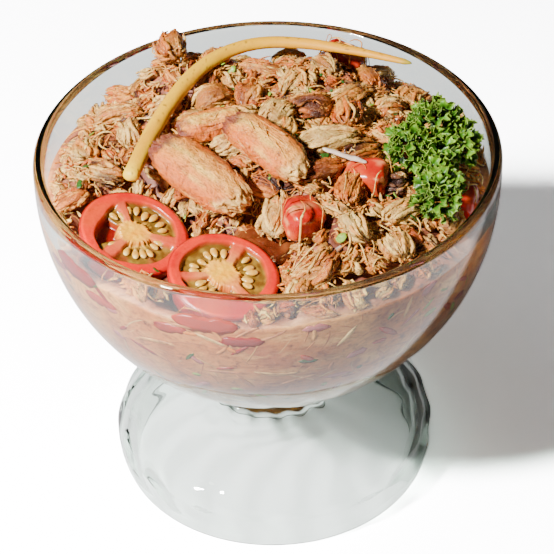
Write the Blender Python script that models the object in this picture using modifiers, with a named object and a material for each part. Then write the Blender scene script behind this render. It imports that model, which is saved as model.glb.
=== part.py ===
"""Crab ceviche heaped in a clear footed glass bowl, with tomato halves, tomato dice,
a strip of yellow pepper and a sprig of curly parsley on top.

Metres, +Z up. The origin is the middle of the foot's resting ring.
"""
import math

import bmesh
import bpy
from mathutils import Matrix, Vector, noise
from mathutils.geometry import interpolate_bezier

MM = 0.001
GAP = 0.3 * MM                  # clearance between pieces that touch
MERGE = 0.01 * MM

# The glass: a half-ellipsoid bowl on a bell foot
GLASS_HEIGHT = 93.0 * MM
RIM_RADIUS = 55.0 * MM
WALL = 2.7 * MM
BAND_HEIGHT = 5.2 * MM          # upright band below the rim
BOWL_DEPTH_OUT = 58.5 * MM      # outer ellipsoid, below the band
BOWL_DEPTH_IN = 55.5 * MM       # inner ellipsoid, below the band
WAIST_RADIUS = 15.5 * MM        # narrowest place, between bowl and foot
WAIST_Z = 27.0 * MM
WAIST_EASE = 4.0 * MM           # how softly the waist joins the bowl and the bell
BELL_RADIUS = 40.0 * MM         # widest place of the foot
BELL_WIDEST_Z = 9.0 * MM
BELL_RISE = 14.0 * MM
FOOT_RADIUS = 37.8 * MM         # outer edge of the resting ring
FOOT_INNER_RADIUS = 35.6 * MM
HOLLOW_RADIUS = 36.6 * MM
HOLLOW_RISE = 13.0 * MM
HOLLOW_WIDEST_Z = 8.0 * MM
SEGMENTS = 48

BAND_Z = GLASS_HEIGHT - BAND_HEIGHT
INNER_RADIUS = RIM_RADIUS - WALL

# The ceviche: its level along the wall, and the mounds and bays of its top
LEVEL = 84.7 * MM
BACK_DROP = 3.0 * MM            # how much lower it lies at the back
BACK_GAP = 9.5 * MM             # free space left between the heap and the back wall
WALL_SLOPE = 1.7                # steepest rise away from the wall
DOME_RISE = 10.5 * MM
DOME_POWER = 2.3
LUMP_SIZE = 8.0 * MM
LUMP_HEIGHT = 1.1 * MM
MOUNDS = {                      # x, y, spread and height, in mm
    "crown": (-1.0, 2.0, 13.0, 2.8),
    "back_ridge_left": (-11.0, 27.0, 10.0, 5.6),
    "back_ridge_right": (12.0, 26.5, 12.0, 6.4),
    "back_left_peak": (-23.5, 31.0, 7.5, 11.0),
    "front_right": (15.0, -31.0, 8.0, 2.2),
}
BAYS = {                        # x, y, height, radius in mm, and slope of the bank around it
    "tomato_left": (-31.0, -21.5, 83.2, 14.2, 1.1),
    "tomato_right": (-11.0, -36.5, 82.0, 14.2, 1.1),
    "broth_pool": (-6.5, -24.5, 85.2, 5.5, 1.3),
    "parsley_seat": (38.0, -6.0, 90.0, 11.0, 0.7),
}

# Toppings
TOMATO_RADIUS = 12.6 * MM
TOMATO_OVAL = 0.03              # share that one way across is longer than the other
TOMATO_DEPTH = 11.5 * MM        # from the cut face to the bottom of the skin
TOMATO_CROWN = 0.12 * MM        # the cut face bulges a little
LOCULE_DEPTH = 1.3 * MM
DICE_EDGE = 1.1 * MM
STRIP_WIDTH = 4.0 * MM
STRIP_TAPER = 0.62              # share of its width that the strip loses towards its tip
STRIP_START = (-32.0, -12.0, 94.0)      # the blunt end at the front left, in mm
STRIP_TIP = (35.0, 22.0, 101.0)         # the thin end at the back right, in mm
STRIP_RISE = (16.0, 49.0, 10.0)         # how far the blunt end reaches back before it bends
STRIP_REACH = (-38.0, 16.0, 1.0)        # how far the thin end reaches back before it bends
STRIP_POINTS = 26

COLLECTION_NAME = "crab_ceviche"


def clear_scene():
    for obj in list(bpy.data.objects):
        bpy.data.objects.remove(obj, do_unlink=True)


def new_collection(name):
    collection = bpy.data.collections.new(name)
    bpy.context.scene.collection.children.link(collection)
    return collection


def material(name, color, roughness, metallic=0.0, transmission=0.0):
    made = bpy.data.materials.new(name)
    made.use_nodes = True
    shader = made.node_tree.nodes["Principled BSDF"]
    shader.inputs["Base Color"].default_value = (*color, 1.0)
    shader.inputs["Roughness"].default_value = roughness
    shader.inputs["Metallic"].default_value = metallic
    shader.inputs["Transmission Weight"].default_value = transmission
    made.diffuse_color = (*color, 1.0)
    return made


def add_object(name, mesh, collection, surface=None):
    obj = bpy.data.objects.new(name, mesh)
    collection.objects.link(obj)
    if surface is not None:
        mesh.materials.append(surface)
    return obj


def finish_mesh(bm, name):
    bmesh.ops.recalc_face_normals(bm, faces=bm.faces)
    mesh = bpy.data.meshes.new(name)
    bm.to_mesh(mesh)
    bm.free()
    mesh.shade_smooth()
    mesh.set_sharp_from_angle(angle=math.radians(50))
    return mesh


def apply_modifiers(obj):
    """Turn the object as its modifiers show it into a plain mesh."""
    depsgraph = bpy.context.evaluated_depsgraph_get()
    mesh = bpy.data.meshes.new_from_object(obj.evaluated_get(depsgraph))
    obj.modifiers.clear()
    obj.data = mesh
    return obj


def as_cutter(obj):
    obj.hide_render = True
    obj.display_type = "WIRE"
    return obj


def cut(obj, cutter):
    boolean = obj.modifiers.new("cut_" + cutter.name, "BOOLEAN")
    boolean.operation = "DIFFERENCE"
    boolean.solver = "EXACT"
    boolean.object = cutter


# ---------------------------------------------------------------- the glass

def inner_wall_radius(z, inset=0.0):
    """Radius of the bowl's inside at a height, moved inwards by inset."""
    radius = INNER_RADIUS - inset
    if z >= BAND_Z:
        return radius
    depth = (BAND_Z - z) / (BOWL_DEPTH_IN - inset)
    return radius * math.sqrt(max(0.0, 1.0 - depth * depth))


def ellipse_arc(radius, rise, middle_z, start, end, steps):
    """Points (r, z) on an ellipse around the axis, angles in degrees."""
    points = []
    for step in range(steps + 1):
        angle = math.radians(start + (end - start) * step / steps)
        points.append((radius * math.cos(angle), middle_z + rise * math.sin(angle)))
    return points


def waist_curve(bowl_end, bell_start, steps):
    """The waist: a curve that leaves the bowl and joins the bell without a crease."""
    waist = Vector((WAIST_RADIUS, WAIST_Z))
    upright = Vector((0.0, WAIST_EASE))
    lean_in = Vector((-WAIST_EASE, -0.45 * WAIST_EASE))
    lean_out = Vector((WAIST_EASE, -0.55 * WAIST_EASE))
    upper = interpolate_bezier(bowl_end, bowl_end + lean_in, waist + upright, waist, steps)
    lower = interpolate_bezier(waist, waist - upright, bell_start - lean_out, bell_start, steps)
    return [tuple(point) for point in upper[1:] + lower[1:-1]]


def glass_profile():
    """The section of the glass, from the bowl's inside over the rim to the hollow foot."""
    rim = WALL / 2
    inside = ellipse_arc(INNER_RADIUS, BOWL_DEPTH_IN, BAND_Z, -90, 0, 10)
    lip = [
        (RIM_RADIUS - rim - rim * math.cos(turn), GLASS_HEIGHT - rim + rim * math.sin(turn))
        for turn in (math.pi * step / 4 for step in range(5))
    ]
    bowl = ellipse_arc(RIM_RADIUS, BOWL_DEPTH_OUT, BAND_Z, 0, -66, 8)
    bell = ellipse_arc(BELL_RADIUS, BELL_RISE, BELL_WIDEST_Z, 54, 0, 5)
    waist = waist_curve(Vector(bowl[-1]), Vector(bell[0]), 4)
    skirt = ellipse_arc(BELL_RADIUS - FOOT_RADIUS, BELL_WIDEST_Z, BELL_WIDEST_Z, 0, -90, 4)
    skirt = [(FOOT_RADIUS + out, z) for out, z in skirt[1:]]
    hollow = ellipse_arc(HOLLOW_RADIUS, HOLLOW_RISE, HOLLOW_WIDEST_Z, 0, 90, 7)
    profile = inside + lip + bowl + waist + bell + skirt + [(FOOT_INNER_RADIUS, 0.0)] + hollow
    profile[0] = (0.0, profile[0][1])
    profile[-1] = (0.0, profile[-1][1])
    return profile


def make_glass(collection):
    mesh = bpy.data.meshes.new("glass_profile")
    points = [(r, 0.0, z) for r, z in glass_profile()]
    mesh.from_pydata(points, [(i, i + 1) for i in range(len(points) - 1)], [])
    glass = add_object("glass_bowl", mesh, collection)
    screw = glass.modifiers.new("turn", "SCREW")
    screw.axis = "Z"
    screw.steps = SEGMENTS
    screw.render_steps = SEGMENTS
    screw.use_merge_vertices = True
    screw.merge_threshold = MERGE
    apply_modifiers(glass)
    glass.data.shade_smooth()
    glass.data.materials.clear()
    glass.data.materials.append(material("clear_glass", (0.86, 0.90, 0.89), 0.02, transmission=1.0))
    return glass


# ------------------------------------------------------------- the ceviche

def wall_level(angle):
    """Height of the ceviche along the wall, lower at the back (+Y)."""
    back = max(0.0, math.sin(angle))
    return LEVEL - BACK_DROP * back * back


def heap_height(x, y):
    """Height of the heap's top surface above the foot's resting plane."""
    radius = math.hypot(x, y)
    share = min(1.0, radius / INNER_RADIUS)
    angle = math.atan2(y, x) if radius > 0 else 0.0
    level = wall_level(angle)
    height = LEVEL + (level - LEVEL) * share * share
    height += DOME_RISE * (1.0 - share ** DOME_POWER)
    calm = min(1.0, (1.0 - share) * 5.0)
    for mound_x, mound_y, spread, rise in MOUNDS.values():
        away = math.hypot(x / MM - mound_x, y / MM - mound_y) / spread
        height += rise * MM * math.exp(-away * away) * calm
    gap = BACK_GAP * max(0.0, math.sin(angle)) ** 4
    height = min(height, level + WALL_SLOPE * max(0.0, INNER_RADIUS - gap - radius))
    for bay_x, bay_y, floor, reach, slope in BAYS.values():
        away = math.hypot(x / MM - bay_x, y / MM - bay_y)
        height = min(height, (floor + slope * max(0.0, away - reach)) * MM)
    lumps = noise.noise(Vector((x / LUMP_SIZE, y / LUMP_SIZE, 0.0)))
    return height + lumps * LUMP_HEIGHT * calm


def make_heap(collection):
    """A ball whose lower half is laid into the bowl and whose upper half becomes the heap."""
    bm = bmesh.new()
    bmesh.ops.create_uvsphere(bm, u_segments=SEGMENTS, v_segments=24, radius=1.0)
    bottom = BAND_Z - BOWL_DEPTH_IN + GAP
    for vert in bm.verts:
        x, y, z = vert.co
        angle = math.atan2(y, x)
        out = math.hypot(x, y)
        level = wall_level(angle)
        edge = inner_wall_radius(level, GAP)
        if z < -1e-6:
            height = level + (level - bottom) * max(z, -1.0)
            radius = inner_wall_radius(height, GAP) if out > 1e-6 else 0.0
        else:
            share = 1.0 - math.acos(min(1.0, out)) / (math.pi / 2)
            radius = edge * share
            height = heap_height(radius * math.cos(angle), radius * math.sin(angle)) if share < 1.0 else level
        vert.co = (radius * math.cos(angle), radius * math.sin(angle), height)
    mesh = finish_mesh(bm, "ceviche_mix")
    surface = material("crab_ceviche", (0.66, 0.44, 0.28), 0.45)
    return add_object("ceviche_mix", mesh, collection, surface)


# ------------------------------------------------------------ the toppings

def place(bm, location, turns):
    """Turn about world axes, one after the other, then move to a place in mm."""
    turn = Matrix.Identity(4)
    for axis, angle in turns:
        turn = Matrix.Rotation(math.radians(angle), 4, axis) @ turn
    bm.transform(Matrix.Translation(Vector(location) * MM) @ turn)


def tomato_half(name, location, turns, grow=0.0):
    """Half a cherry tomato, cut face up, with two seed pockets sunk in the face."""
    bm = bmesh.new()
    bmesh.ops.create_uvsphere(bm, u_segments=20, v_segments=14, radius=1.0)
    for vert in bm.verts:
        x, y, z = vert.co
        wide = TOMATO_RADIUS * (1.0 - TOMATO_OVAL) + grow
        long = TOMATO_RADIUS * (1.0 + TOMATO_OVAL) + grow
        if z < -1e-6:
            vert.co = (x * wide, y * long, z * (TOMATO_DEPTH + grow))
            continue
        share = 1.0 - math.acos(min(1.0, math.hypot(x, y))) / (math.pi / 2)
        angle = math.atan2(y, x)
        pocket = max(0.0, abs(math.cos(angle)) - 0.35) / 0.65
        ring = max(0.0, 1.0 - ((share - 0.48) / 0.30) ** 2)
        sunk = 0.0 if grow else LOCULE_DEPTH * pocket * ring
        height = TOMATO_CROWN * (1.0 - share ** 8) + grow - sunk
        vert.co = (wide * share * math.cos(angle), long * share * math.sin(angle), height)
    place(bm, location, turns)
    return finish_mesh(bm, name)


def leg_meat(name, size, location, turns, seed, grow=0.0):
    """A lump of leg meat along X: a tapered oval with ridges along its fibres."""
    length, width, height = (value * MM / 2 for value in size)
    bm = bmesh.new()
    bmesh.ops.create_uvsphere(bm, u_segments=14, v_segments=10, radius=1.0)
    bmesh.ops.rotate(bm, cent=(0, 0, 0), matrix=Matrix.Rotation(math.pi / 2, 3, "Y"), verts=bm.verts)
    for vert in bm.verts:
        x, y, z = vert.co
        around = math.atan2(z, y)
        blunt = math.copysign(abs(x) ** 1.25, x)
        taper = 1.0 + 0.22 * x
        ridges = 1.0 + 0.05 * math.sin(5 * around + seed) + 0.04 * math.sin(3 * around + 2.2 * x + seed)
        bend = 0.12 * (1.0 - x * x)
        vert.co = (
            blunt * (length + grow),
            y * (width * taper * ridges + grow) + bend * width,
            z * (height * taper * ridges + grow),
        )
    place(bm, location, turns)
    return finish_mesh(bm, name)


def tomato_dice(name, size, location, turns, seed, grow=0.0):
    """A dice of tomato: a cube with soft edges, a little out of true."""
    bm = bmesh.new()
    bmesh.ops.create_cube(bm, size=1.0)
    for vert in bm.verts:
        skew = 1.0 + 0.10 * math.sin(seed + 7.0 * vert.co.x + 5.0 * vert.co.y + 3.0 * vert.co.z)
        vert.co = Vector(value * (side * MM + 2 * grow) * skew for value, side in zip(vert.co, size))
    bmesh.ops.bevel(bm, geom=list(bm.edges), offset=DICE_EDGE, segments=1, affect="EDGES", profile=0.5)
    place(bm, location, turns)
    return finish_mesh(bm, name)


def lobe(bm, centre, radius, seed, grow):
    """One ruffled head of parsley, an icosphere with deep folds."""
    made = bmesh.ops.create_icosphere(bm, subdivisions=2, radius=1.0)
    for vert in made["verts"]:
        out = vert.co.normalized()
        folds = noise.noise(out * 2.6 + Vector((seed, 0.0, 0.0)))
        reach = radius * MM * (1.0 + 0.22 * folds) + grow
        vert.co = Vector(centre) * MM + Vector((out.x * reach, out.y * reach, out.z * reach * 0.72))


PARSLEY_LOBES = {               # x, y, z and radius in mm
    "left_head": (33.0, -6.5, 96.5, 7.0),
    "middle_head": (39.0, -0.5, 98.5, 7.6),
    "right_head": (44.5, -5.0, 96.5, 5.8),
    "heart": (38.5, -9.5, 96.0, 6.4),
    "low_head": (38.5, -21.0, 94.0, 7.4),
    "neck": (38.5, -15.0, 94.5, 5.6),
}


def make_parsley(collection, scratch, grow=0.0):
    """The sprig: its heads joined one to the next with a Boolean union."""
    base = None
    suffix = "_room" if grow else ""
    for index, (x, y, z, radius) in enumerate(PARSLEY_LOBES.values()):
        bm = bmesh.new()
        lobe(bm, (x, y, z), radius, 1.7 * index, grow)
        mesh = finish_mesh(bm, "parsley_head")
        if base is None:
            base = add_object("parsley_sprig" + suffix, mesh, collection)
            continue
        head = as_cutter(add_object("parsley_head_" + str(index) + suffix, mesh, scratch))
        union = base.modifiers.new("head", "BOOLEAN")
        union.operation = "UNION"
        union.solver = "EXACT"
        union.object = head
    apply_modifiers(base)
    return base


def pepper_strip(name, collection, grow=0.0):
    """A tapered strip with a rounded section, bent in one curve over the back of the heap."""
    start, tip = Vector(STRIP_START), Vector(STRIP_TIP)
    route = interpolate_bezier(start, start + Vector(STRIP_RISE), tip + Vector(STRIP_REACH), tip, STRIP_POINTS)
    curve = bpy.data.curves.new(name, "CURVE")
    curve.dimensions = "3D"
    curve.bevel_depth = 1.0 * MM
    curve.bevel_resolution = 2
    curve.use_fill_caps = True
    spline = curve.splines.new("POLY")
    spline.points.add(STRIP_POINTS - 1)
    for index, (point, place_mm) in enumerate(zip(spline.points, route)):
        point.co = (*(place_mm * MM), 1.0)
        taper = 1.0 - STRIP_TAPER * (index / (STRIP_POINTS - 1)) ** 3
        point.radius = (STRIP_WIDTH / 2 * taper + grow) / MM
    guide = add_object(name + "_curve", curve, collection)
    bpy.context.view_layer.update()
    depsgraph = bpy.context.evaluated_depsgraph_get()
    mesh = bpy.data.meshes.new_from_object(guide.evaluated_get(depsgraph))
    bpy.data.objects.remove(guide, do_unlink=True)
    bm = bmesh.new()
    bm.from_mesh(mesh)
    bmesh.ops.remove_doubles(bm, verts=bm.verts, dist=MERGE)
    return finish_mesh(bm, name)


TOMATO_HALVES = {               # place in mm, turns in degrees
    "tomato_half_left": ((-30.9, -21.5, 86.2), (("Z", -37.0), ("X", 9.0), ("Y", 12.0))),
    "tomato_half_right": ((-10.5, -36.1, 85.3), (("Z", -37.0), ("X", 8.0), ("Y", 7.0))),
}
LEG_PIECES = {                  # size and place in mm, turns in degrees, ridge phase
    "crab_leg_1": ((26.0, 11.5, 9.0), (-15.3, -14.0, 96.6), (("Y", 10.0), ("Z", -43.0)), 0.4),
    "crab_leg_2": ((23.5, 10.0, 8.0), (0.0, -8.6, 100.2), (("Y", 8.0), ("Z", -46.0)), 2.1),
    "crab_leg_3": ((15.0, 7.5, 6.0), (-13.0, 2.0, 99.0), (("Y", -4.0), ("Z", 12.0)), 3.6),
}
TOMATO_DICE = {                 # size and place in mm, turns in degrees, skew phase
    "tomato_dice_1": ((9.5, 9.0, 8.0), (7.5, -25.8, 92.4), (("X", 14.0), ("Y", 12.0), ("Z", 28.0)), 0.3),
    "tomato_dice_2": ((11.0, 8.5, 8.0), (22.6, -12.5, 93.2), (("X", 10.0), ("Y", -8.0), ("Z", -20.0)), 1.9),
    "tomato_dice_3": ((12.0, 9.0, 8.0), (19.3, 37.5, 91.5), (("X", -6.0), ("Y", 10.0), ("Z", -15.0)), 3.1),
    "tomato_dice_4": ((5.0, 8.5, 8.0), (45.8, -14.0, 85.8), (("X", 6.0), ("Z", -17.0)), 4.4),
}


def make_toppings(collection, scratch, heap):
    """Each topping, and the room cut for it in the heap, one gap larger all round."""
    tomato = material("tomato_flesh", (0.55, 0.07, 0.03), 0.25)
    meat = material("crab_leg_meat", (0.72, 0.40, 0.24), 0.4)
    pepper = material("yellow_pepper", (0.80, 0.42, 0.04), 0.3)
    parsley = material("curly_parsley", (0.07, 0.21, 0.02), 0.5)
    rooms = []
    families = (
        (tomato_half, TOMATO_HALVES, tomato),
        (leg_meat, LEG_PIECES, meat),
        (tomato_dice, TOMATO_DICE, tomato),
    )
    for shape, pieces, surface in families:
        for name, form in pieces.items():
            room = name + "_room"
            add_object(name, shape(name, *form), collection, surface)
            rooms.append(add_object(room, shape(room, *form, grow=GAP), scratch))
    add_object("pepper_strip", pepper_strip("pepper_strip", scratch), collection, pepper)
    rooms.append(add_object("pepper_strip_room", pepper_strip("pepper_strip_room", scratch, GAP), scratch))
    sprig = make_parsley(collection, scratch)
    sprig.data.materials.append(parsley)
    rooms.append(make_parsley(scratch, scratch, GAP))
    for room in rooms:
        cut(heap, as_cutter(room))


def main():
    clear_scene()
    parts = new_collection(COLLECTION_NAME)
    scratch = new_collection("cutters")
    make_glass(parts)
    heap = make_heap(parts)
    make_toppings(parts, scratch, heap)


main()
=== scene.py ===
"""The looks of a crab ceviche in a footed glass bowl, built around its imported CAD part.

Sizes are in millimetres until a mesh is made. Every food piece carries two attributes of its own
points: "paint", the colour of the flesh there, and "rest", its place before it was bent, along
which its fibres run.
"""

import math

import bpy
import numpy as np
from mathutils import Matrix, Vector
from mathutils.bvhtree import BVHTree
from mathutils.geometry import interpolate_bezier


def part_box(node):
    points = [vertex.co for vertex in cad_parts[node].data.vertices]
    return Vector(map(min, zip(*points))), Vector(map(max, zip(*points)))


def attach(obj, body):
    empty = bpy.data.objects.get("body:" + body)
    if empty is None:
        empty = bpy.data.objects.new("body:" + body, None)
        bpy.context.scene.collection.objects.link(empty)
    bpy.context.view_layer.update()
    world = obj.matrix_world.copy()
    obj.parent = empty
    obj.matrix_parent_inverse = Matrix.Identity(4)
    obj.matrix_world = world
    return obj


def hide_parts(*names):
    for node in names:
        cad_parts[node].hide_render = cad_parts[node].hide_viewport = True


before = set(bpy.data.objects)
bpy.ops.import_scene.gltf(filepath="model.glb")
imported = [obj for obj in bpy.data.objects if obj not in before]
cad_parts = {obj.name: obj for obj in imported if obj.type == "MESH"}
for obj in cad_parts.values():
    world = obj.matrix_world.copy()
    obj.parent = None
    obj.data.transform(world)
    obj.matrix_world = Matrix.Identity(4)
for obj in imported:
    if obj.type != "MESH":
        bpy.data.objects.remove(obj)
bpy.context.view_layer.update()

MM = 0.001

# The glass, as the CAD has it.
GLASS_HEIGHT = 93.0
RIM_RADIUS = 55.0
WALL = 2.7
INNER_RADIUS = RIM_RADIUS - WALL
BAND_Z = 87.8
BOWL_DEPTH_OUT = 58.5
BOWL_DEPTH_IN = 55.5
WAIST_RADIUS = 15.5
WAIST_Z = 27.0
WAIST_EASE = 4.0
BELL_RADIUS = 40.0
BELL_RISE = 14.0
BELL_WIDEST_Z = 9.0
FOOT_RADIUS = 37.8
FOOT_INNER_RADIUS = 35.6
HOLLOW_RADIUS = 36.6
HOLLOW_RISE = 13.0
HOLLOW_WIDEST_Z = 8.0
FLUTES = 18
FLUTE_DEPTH = 0.5
FLUTE_TWIST = 0.075
GLASS_SEGMENTS = 204

FOOD_REACH = 0.1
HEAP_CLEARANCE = 0.12


def linear(code, alpha=1.0):
    """A hex sRGB colour as linear light."""
    values = [int(code[i : i + 2], 16) / 255 for i in (0, 2, 4)]
    return [v / 12.92 if v <= 0.04045 else ((v + 0.055) / 1.055) ** 2.4 for v in values] + [alpha]


def tint(code):
    return np.array(linear(code)[:3])


def grain(points, size, seed=0):
    """Smooth noise from -1 to 1 at many points. size is one lump in mm, or one for each axis."""
    p = np.asarray(points, float) / np.asarray(size, float) + 91.7 * (seed % 97) + 3.1
    cell = np.floor(p)
    f = p - cell
    f = f * f * (3 - 2 * f)
    cell = cell.astype(np.int64)
    total = np.zeros(len(p))
    for dx in (0, 1):
        for dy in (0, 1):
            for dz in (0, 1):
                h = (cell[:, 0] + dx) * 374761393 + (cell[:, 1] + dy) * 668265263
                h = (h + (cell[:, 2] + dz) * 1442695041 + seed * 9781) & 0xFFFFFFFF
                h = ((h ^ (h >> 13)) * 1274126177) & 0xFFFFFFFF
                value = ((h ^ (h >> 16)) & 0xFFFF) / 32767.5 - 1
                wx = f[:, 0] if dx else 1 - f[:, 0]
                wy = f[:, 1] if dy else 1 - f[:, 1]
                wz = f[:, 2] if dz else 1 - f[:, 2]
                total += value * wx * wy * wz
    return total


def step(value, low, high):
    t = np.clip((value - low) / (high - low), 0, 1)
    return t * t * (3 - 2 * t)


def mixed(a, b, amount):
    """Colour a going to colour b; amount is one number for each point."""
    amount = np.asarray(amount)[:, None]
    return a * (1 - amount) + b * amount


def signed_power(value, power):
    return np.sign(value) * np.abs(value) ** power


def wall_radius(z):
    """The radius of the bowl's inner wall at a height."""
    z = np.asarray(z, float)
    below = np.clip((BAND_Z - z) / BOWL_DEPTH_IN, 0, 1)
    return INNER_RADIUS * np.sqrt(1 - below**2)


def pressed(points, inset):
    """Keeps points inside the bowl's wall, inset mm from it; a negative inset goes into the glass."""
    points = points.copy()
    floor = BAND_Z - BOWL_DEPTH_IN + 0.3
    points[:, 2] = np.maximum(points[:, 2], floor)
    limit = np.maximum(wall_radius(points[:, 2]) - inset, 0.1)
    reach = np.hypot(points[:, 0], points[:, 1])
    soft = limit - 0.9
    over = np.maximum(reach - soft, 0)
    eased = np.where(over > 0, soft + 0.9 * (1 - np.exp(-over / 0.9)), reach)
    scale = np.where(reach > 1e-6, eased / np.maximum(reach, 1e-6), 1)
    points[:, :2] *= scale[:, None]
    return points


def turn(points, rotation, place):
    return points @ np.array(rotation.to_3x3()).T + np.array(place)


def set_turns(turns):
    """Turns in degrees about the world's axes, one after the other."""
    rotation = Matrix.Identity(3)
    for axis, degrees in turns:
        rotation = Matrix.Rotation(math.radians(degrees), 3, axis) @ rotation
    return rotation


def laid(normal, yaw, tilt=0.0):
    """A turn that lays a piece's flat side on a slope."""
    up = Vector(normal).normalized()
    side = Vector((math.cos(yaw), math.sin(yaw), 0))
    along = (side - up * side.dot(up)).normalized()
    across = up.cross(along)
    rotation = Matrix((along, across, up)).transposed()
    return rotation @ Matrix.Rotation(tilt, 3, "Y")


def make_mesh(name, points, faces, material, paint=None, rest=None, smooth=True):
    """A mesh object in metres from points in mm and arrays of faces."""
    mesh = bpy.data.meshes.new(name)
    corners = np.concatenate([np.asarray(f, np.int32).ravel() for f in faces])
    sizes = np.concatenate([np.full(len(f), f.shape[1], np.int32) for f in faces])
    mesh.vertices.add(len(points))
    mesh.vertices.foreach_set("co", (np.asarray(points, float) * MM).astype(np.float32).ravel())
    mesh.loops.add(len(corners))
    mesh.loops.foreach_set("vertex_index", corners)
    mesh.polygons.add(len(sizes))
    starts = np.concatenate([[0], np.cumsum(sizes)[:-1]]).astype(np.int32)
    mesh.polygons.foreach_set("loop_start", starts)
    mesh.polygons.foreach_set("loop_total", sizes)
    mesh.polygons.foreach_set("use_smooth", np.full(len(sizes), smooth))
    mesh.update(calc_edges=True)
    if paint is not None:
        layer = mesh.attributes.new("paint", "FLOAT_COLOR", "POINT")
        rgba = np.concatenate([np.clip(paint, 0, 1), np.ones((len(points), 1))], axis=1)
        layer.data.foreach_set("color", rgba.astype(np.float32).ravel())
    if rest is not None:
        layer = mesh.attributes.new("rest", "FLOAT_VECTOR", "POINT")
        layer.data.foreach_set("vector", (np.asarray(rest) * MM).astype(np.float32).ravel())
    mesh.validate()
    mesh.materials.append(material)
    piece = bpy.data.objects.new(name, mesh)
    bpy.context.scene.collection.objects.link(piece)
    return piece


class Batch:
    """Many small shapes of one kind, gathered into one piece."""

    def __init__(self):
        self.points = []
        self.faces = {}
        self.paint = []
        self.rest = []
        self.count = 0

    def put(self, points, faces, paint, rest):
        for f in faces:
            self.faces.setdefault(f.shape[1], []).append(f + self.count)
        self.points.append(points)
        self.paint.append(paint)
        self.rest.append(rest)
        self.count += len(points)

    def make(self, name, material, slot):
        faces = [np.concatenate(group) for group in self.faces.values()]
        points = np.concatenate(self.points)
        paint, rest = np.concatenate(self.paint), np.concatenate(self.rest)
        piece = make_mesh(name, points, faces, material, paint, rest)
        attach(piece, "root")
        return piece


def grid_faces(rows, columns, closed=True):
    """Quads between rows of points; closed joins each row's last point to its first."""
    i = np.arange(rows - 1)[:, None]
    j = np.arange(columns if closed else columns - 1)[None, :]
    k = (j + 1) % columns
    row, after = i * columns, (i + 1) * columns
    quads = np.stack([row + j, row + k, after + k, after + j], axis=-1)
    return quads.reshape(-1, 4)


def tube_faces(rows, columns):
    """A closed tube of rows with a flat cap at each end."""
    caps = np.stack([np.arange(columns)[::-1], np.arange(columns) + (rows - 1) * columns])
    return [grid_faces(rows, columns), caps]


def search_tree(*names):
    """A search tree in mm over the faces of CAD nodes."""
    points = []
    faces = []
    for name in names:
        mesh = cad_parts[name].data
        start = len(points)
        points += [v.co / MM for v in mesh.vertices]
        faces += [[start + i for i in p.vertices] for p in mesh.polygons]
    return BVHTree.FromPolygons(points, faces)


heap_tree = search_tree("ceviche_mix")
draped = [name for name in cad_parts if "dice" in name]
draped_tree = search_tree("ceviche_mix", *draped)


def middle(node):
    """The middle of a CAD node's box, in mm."""
    low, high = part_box(node)
    return (low + high) / 2 / MM


def heap_top(x, y, tree=heap_tree):
    """The height and slope of the heap at a point seen from above."""
    place, normal, _, _ = tree.ray_cast(Vector((x, y, 200)), Vector((0, 0, -1)))
    if place is None:
        return None, None
    return place.z, normal


# ---------------------------------------------------------------- materials


def add(tree, kind, inputs=None, stops=None, **settings):
    """Adds one node: settings are its properties, inputs its sockets, each a value or a link."""
    made = tree.nodes.new("ShaderNode" + kind)
    for name, value in settings.items():
        setattr(made, name, value)
    for name, value in (inputs or {}).items():
        if isinstance(value, bpy.types.NodeSocket):
            tree.links.new(value, made.inputs[name])
        else:
            made.inputs[name].default_value = value
    if stops:
        elements = made.color_ramp.elements
        while len(elements) < len(stops):
            elements.new(0.5)
        for element, (place, colour) in zip(elements, stops):
            element.position = place
            element.color = colour
    return made


def new_material(name):
    material = bpy.data.materials.new(name)
    material.use_nodes = True
    material.node_tree.nodes.clear()
    return material, material.node_tree


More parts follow.
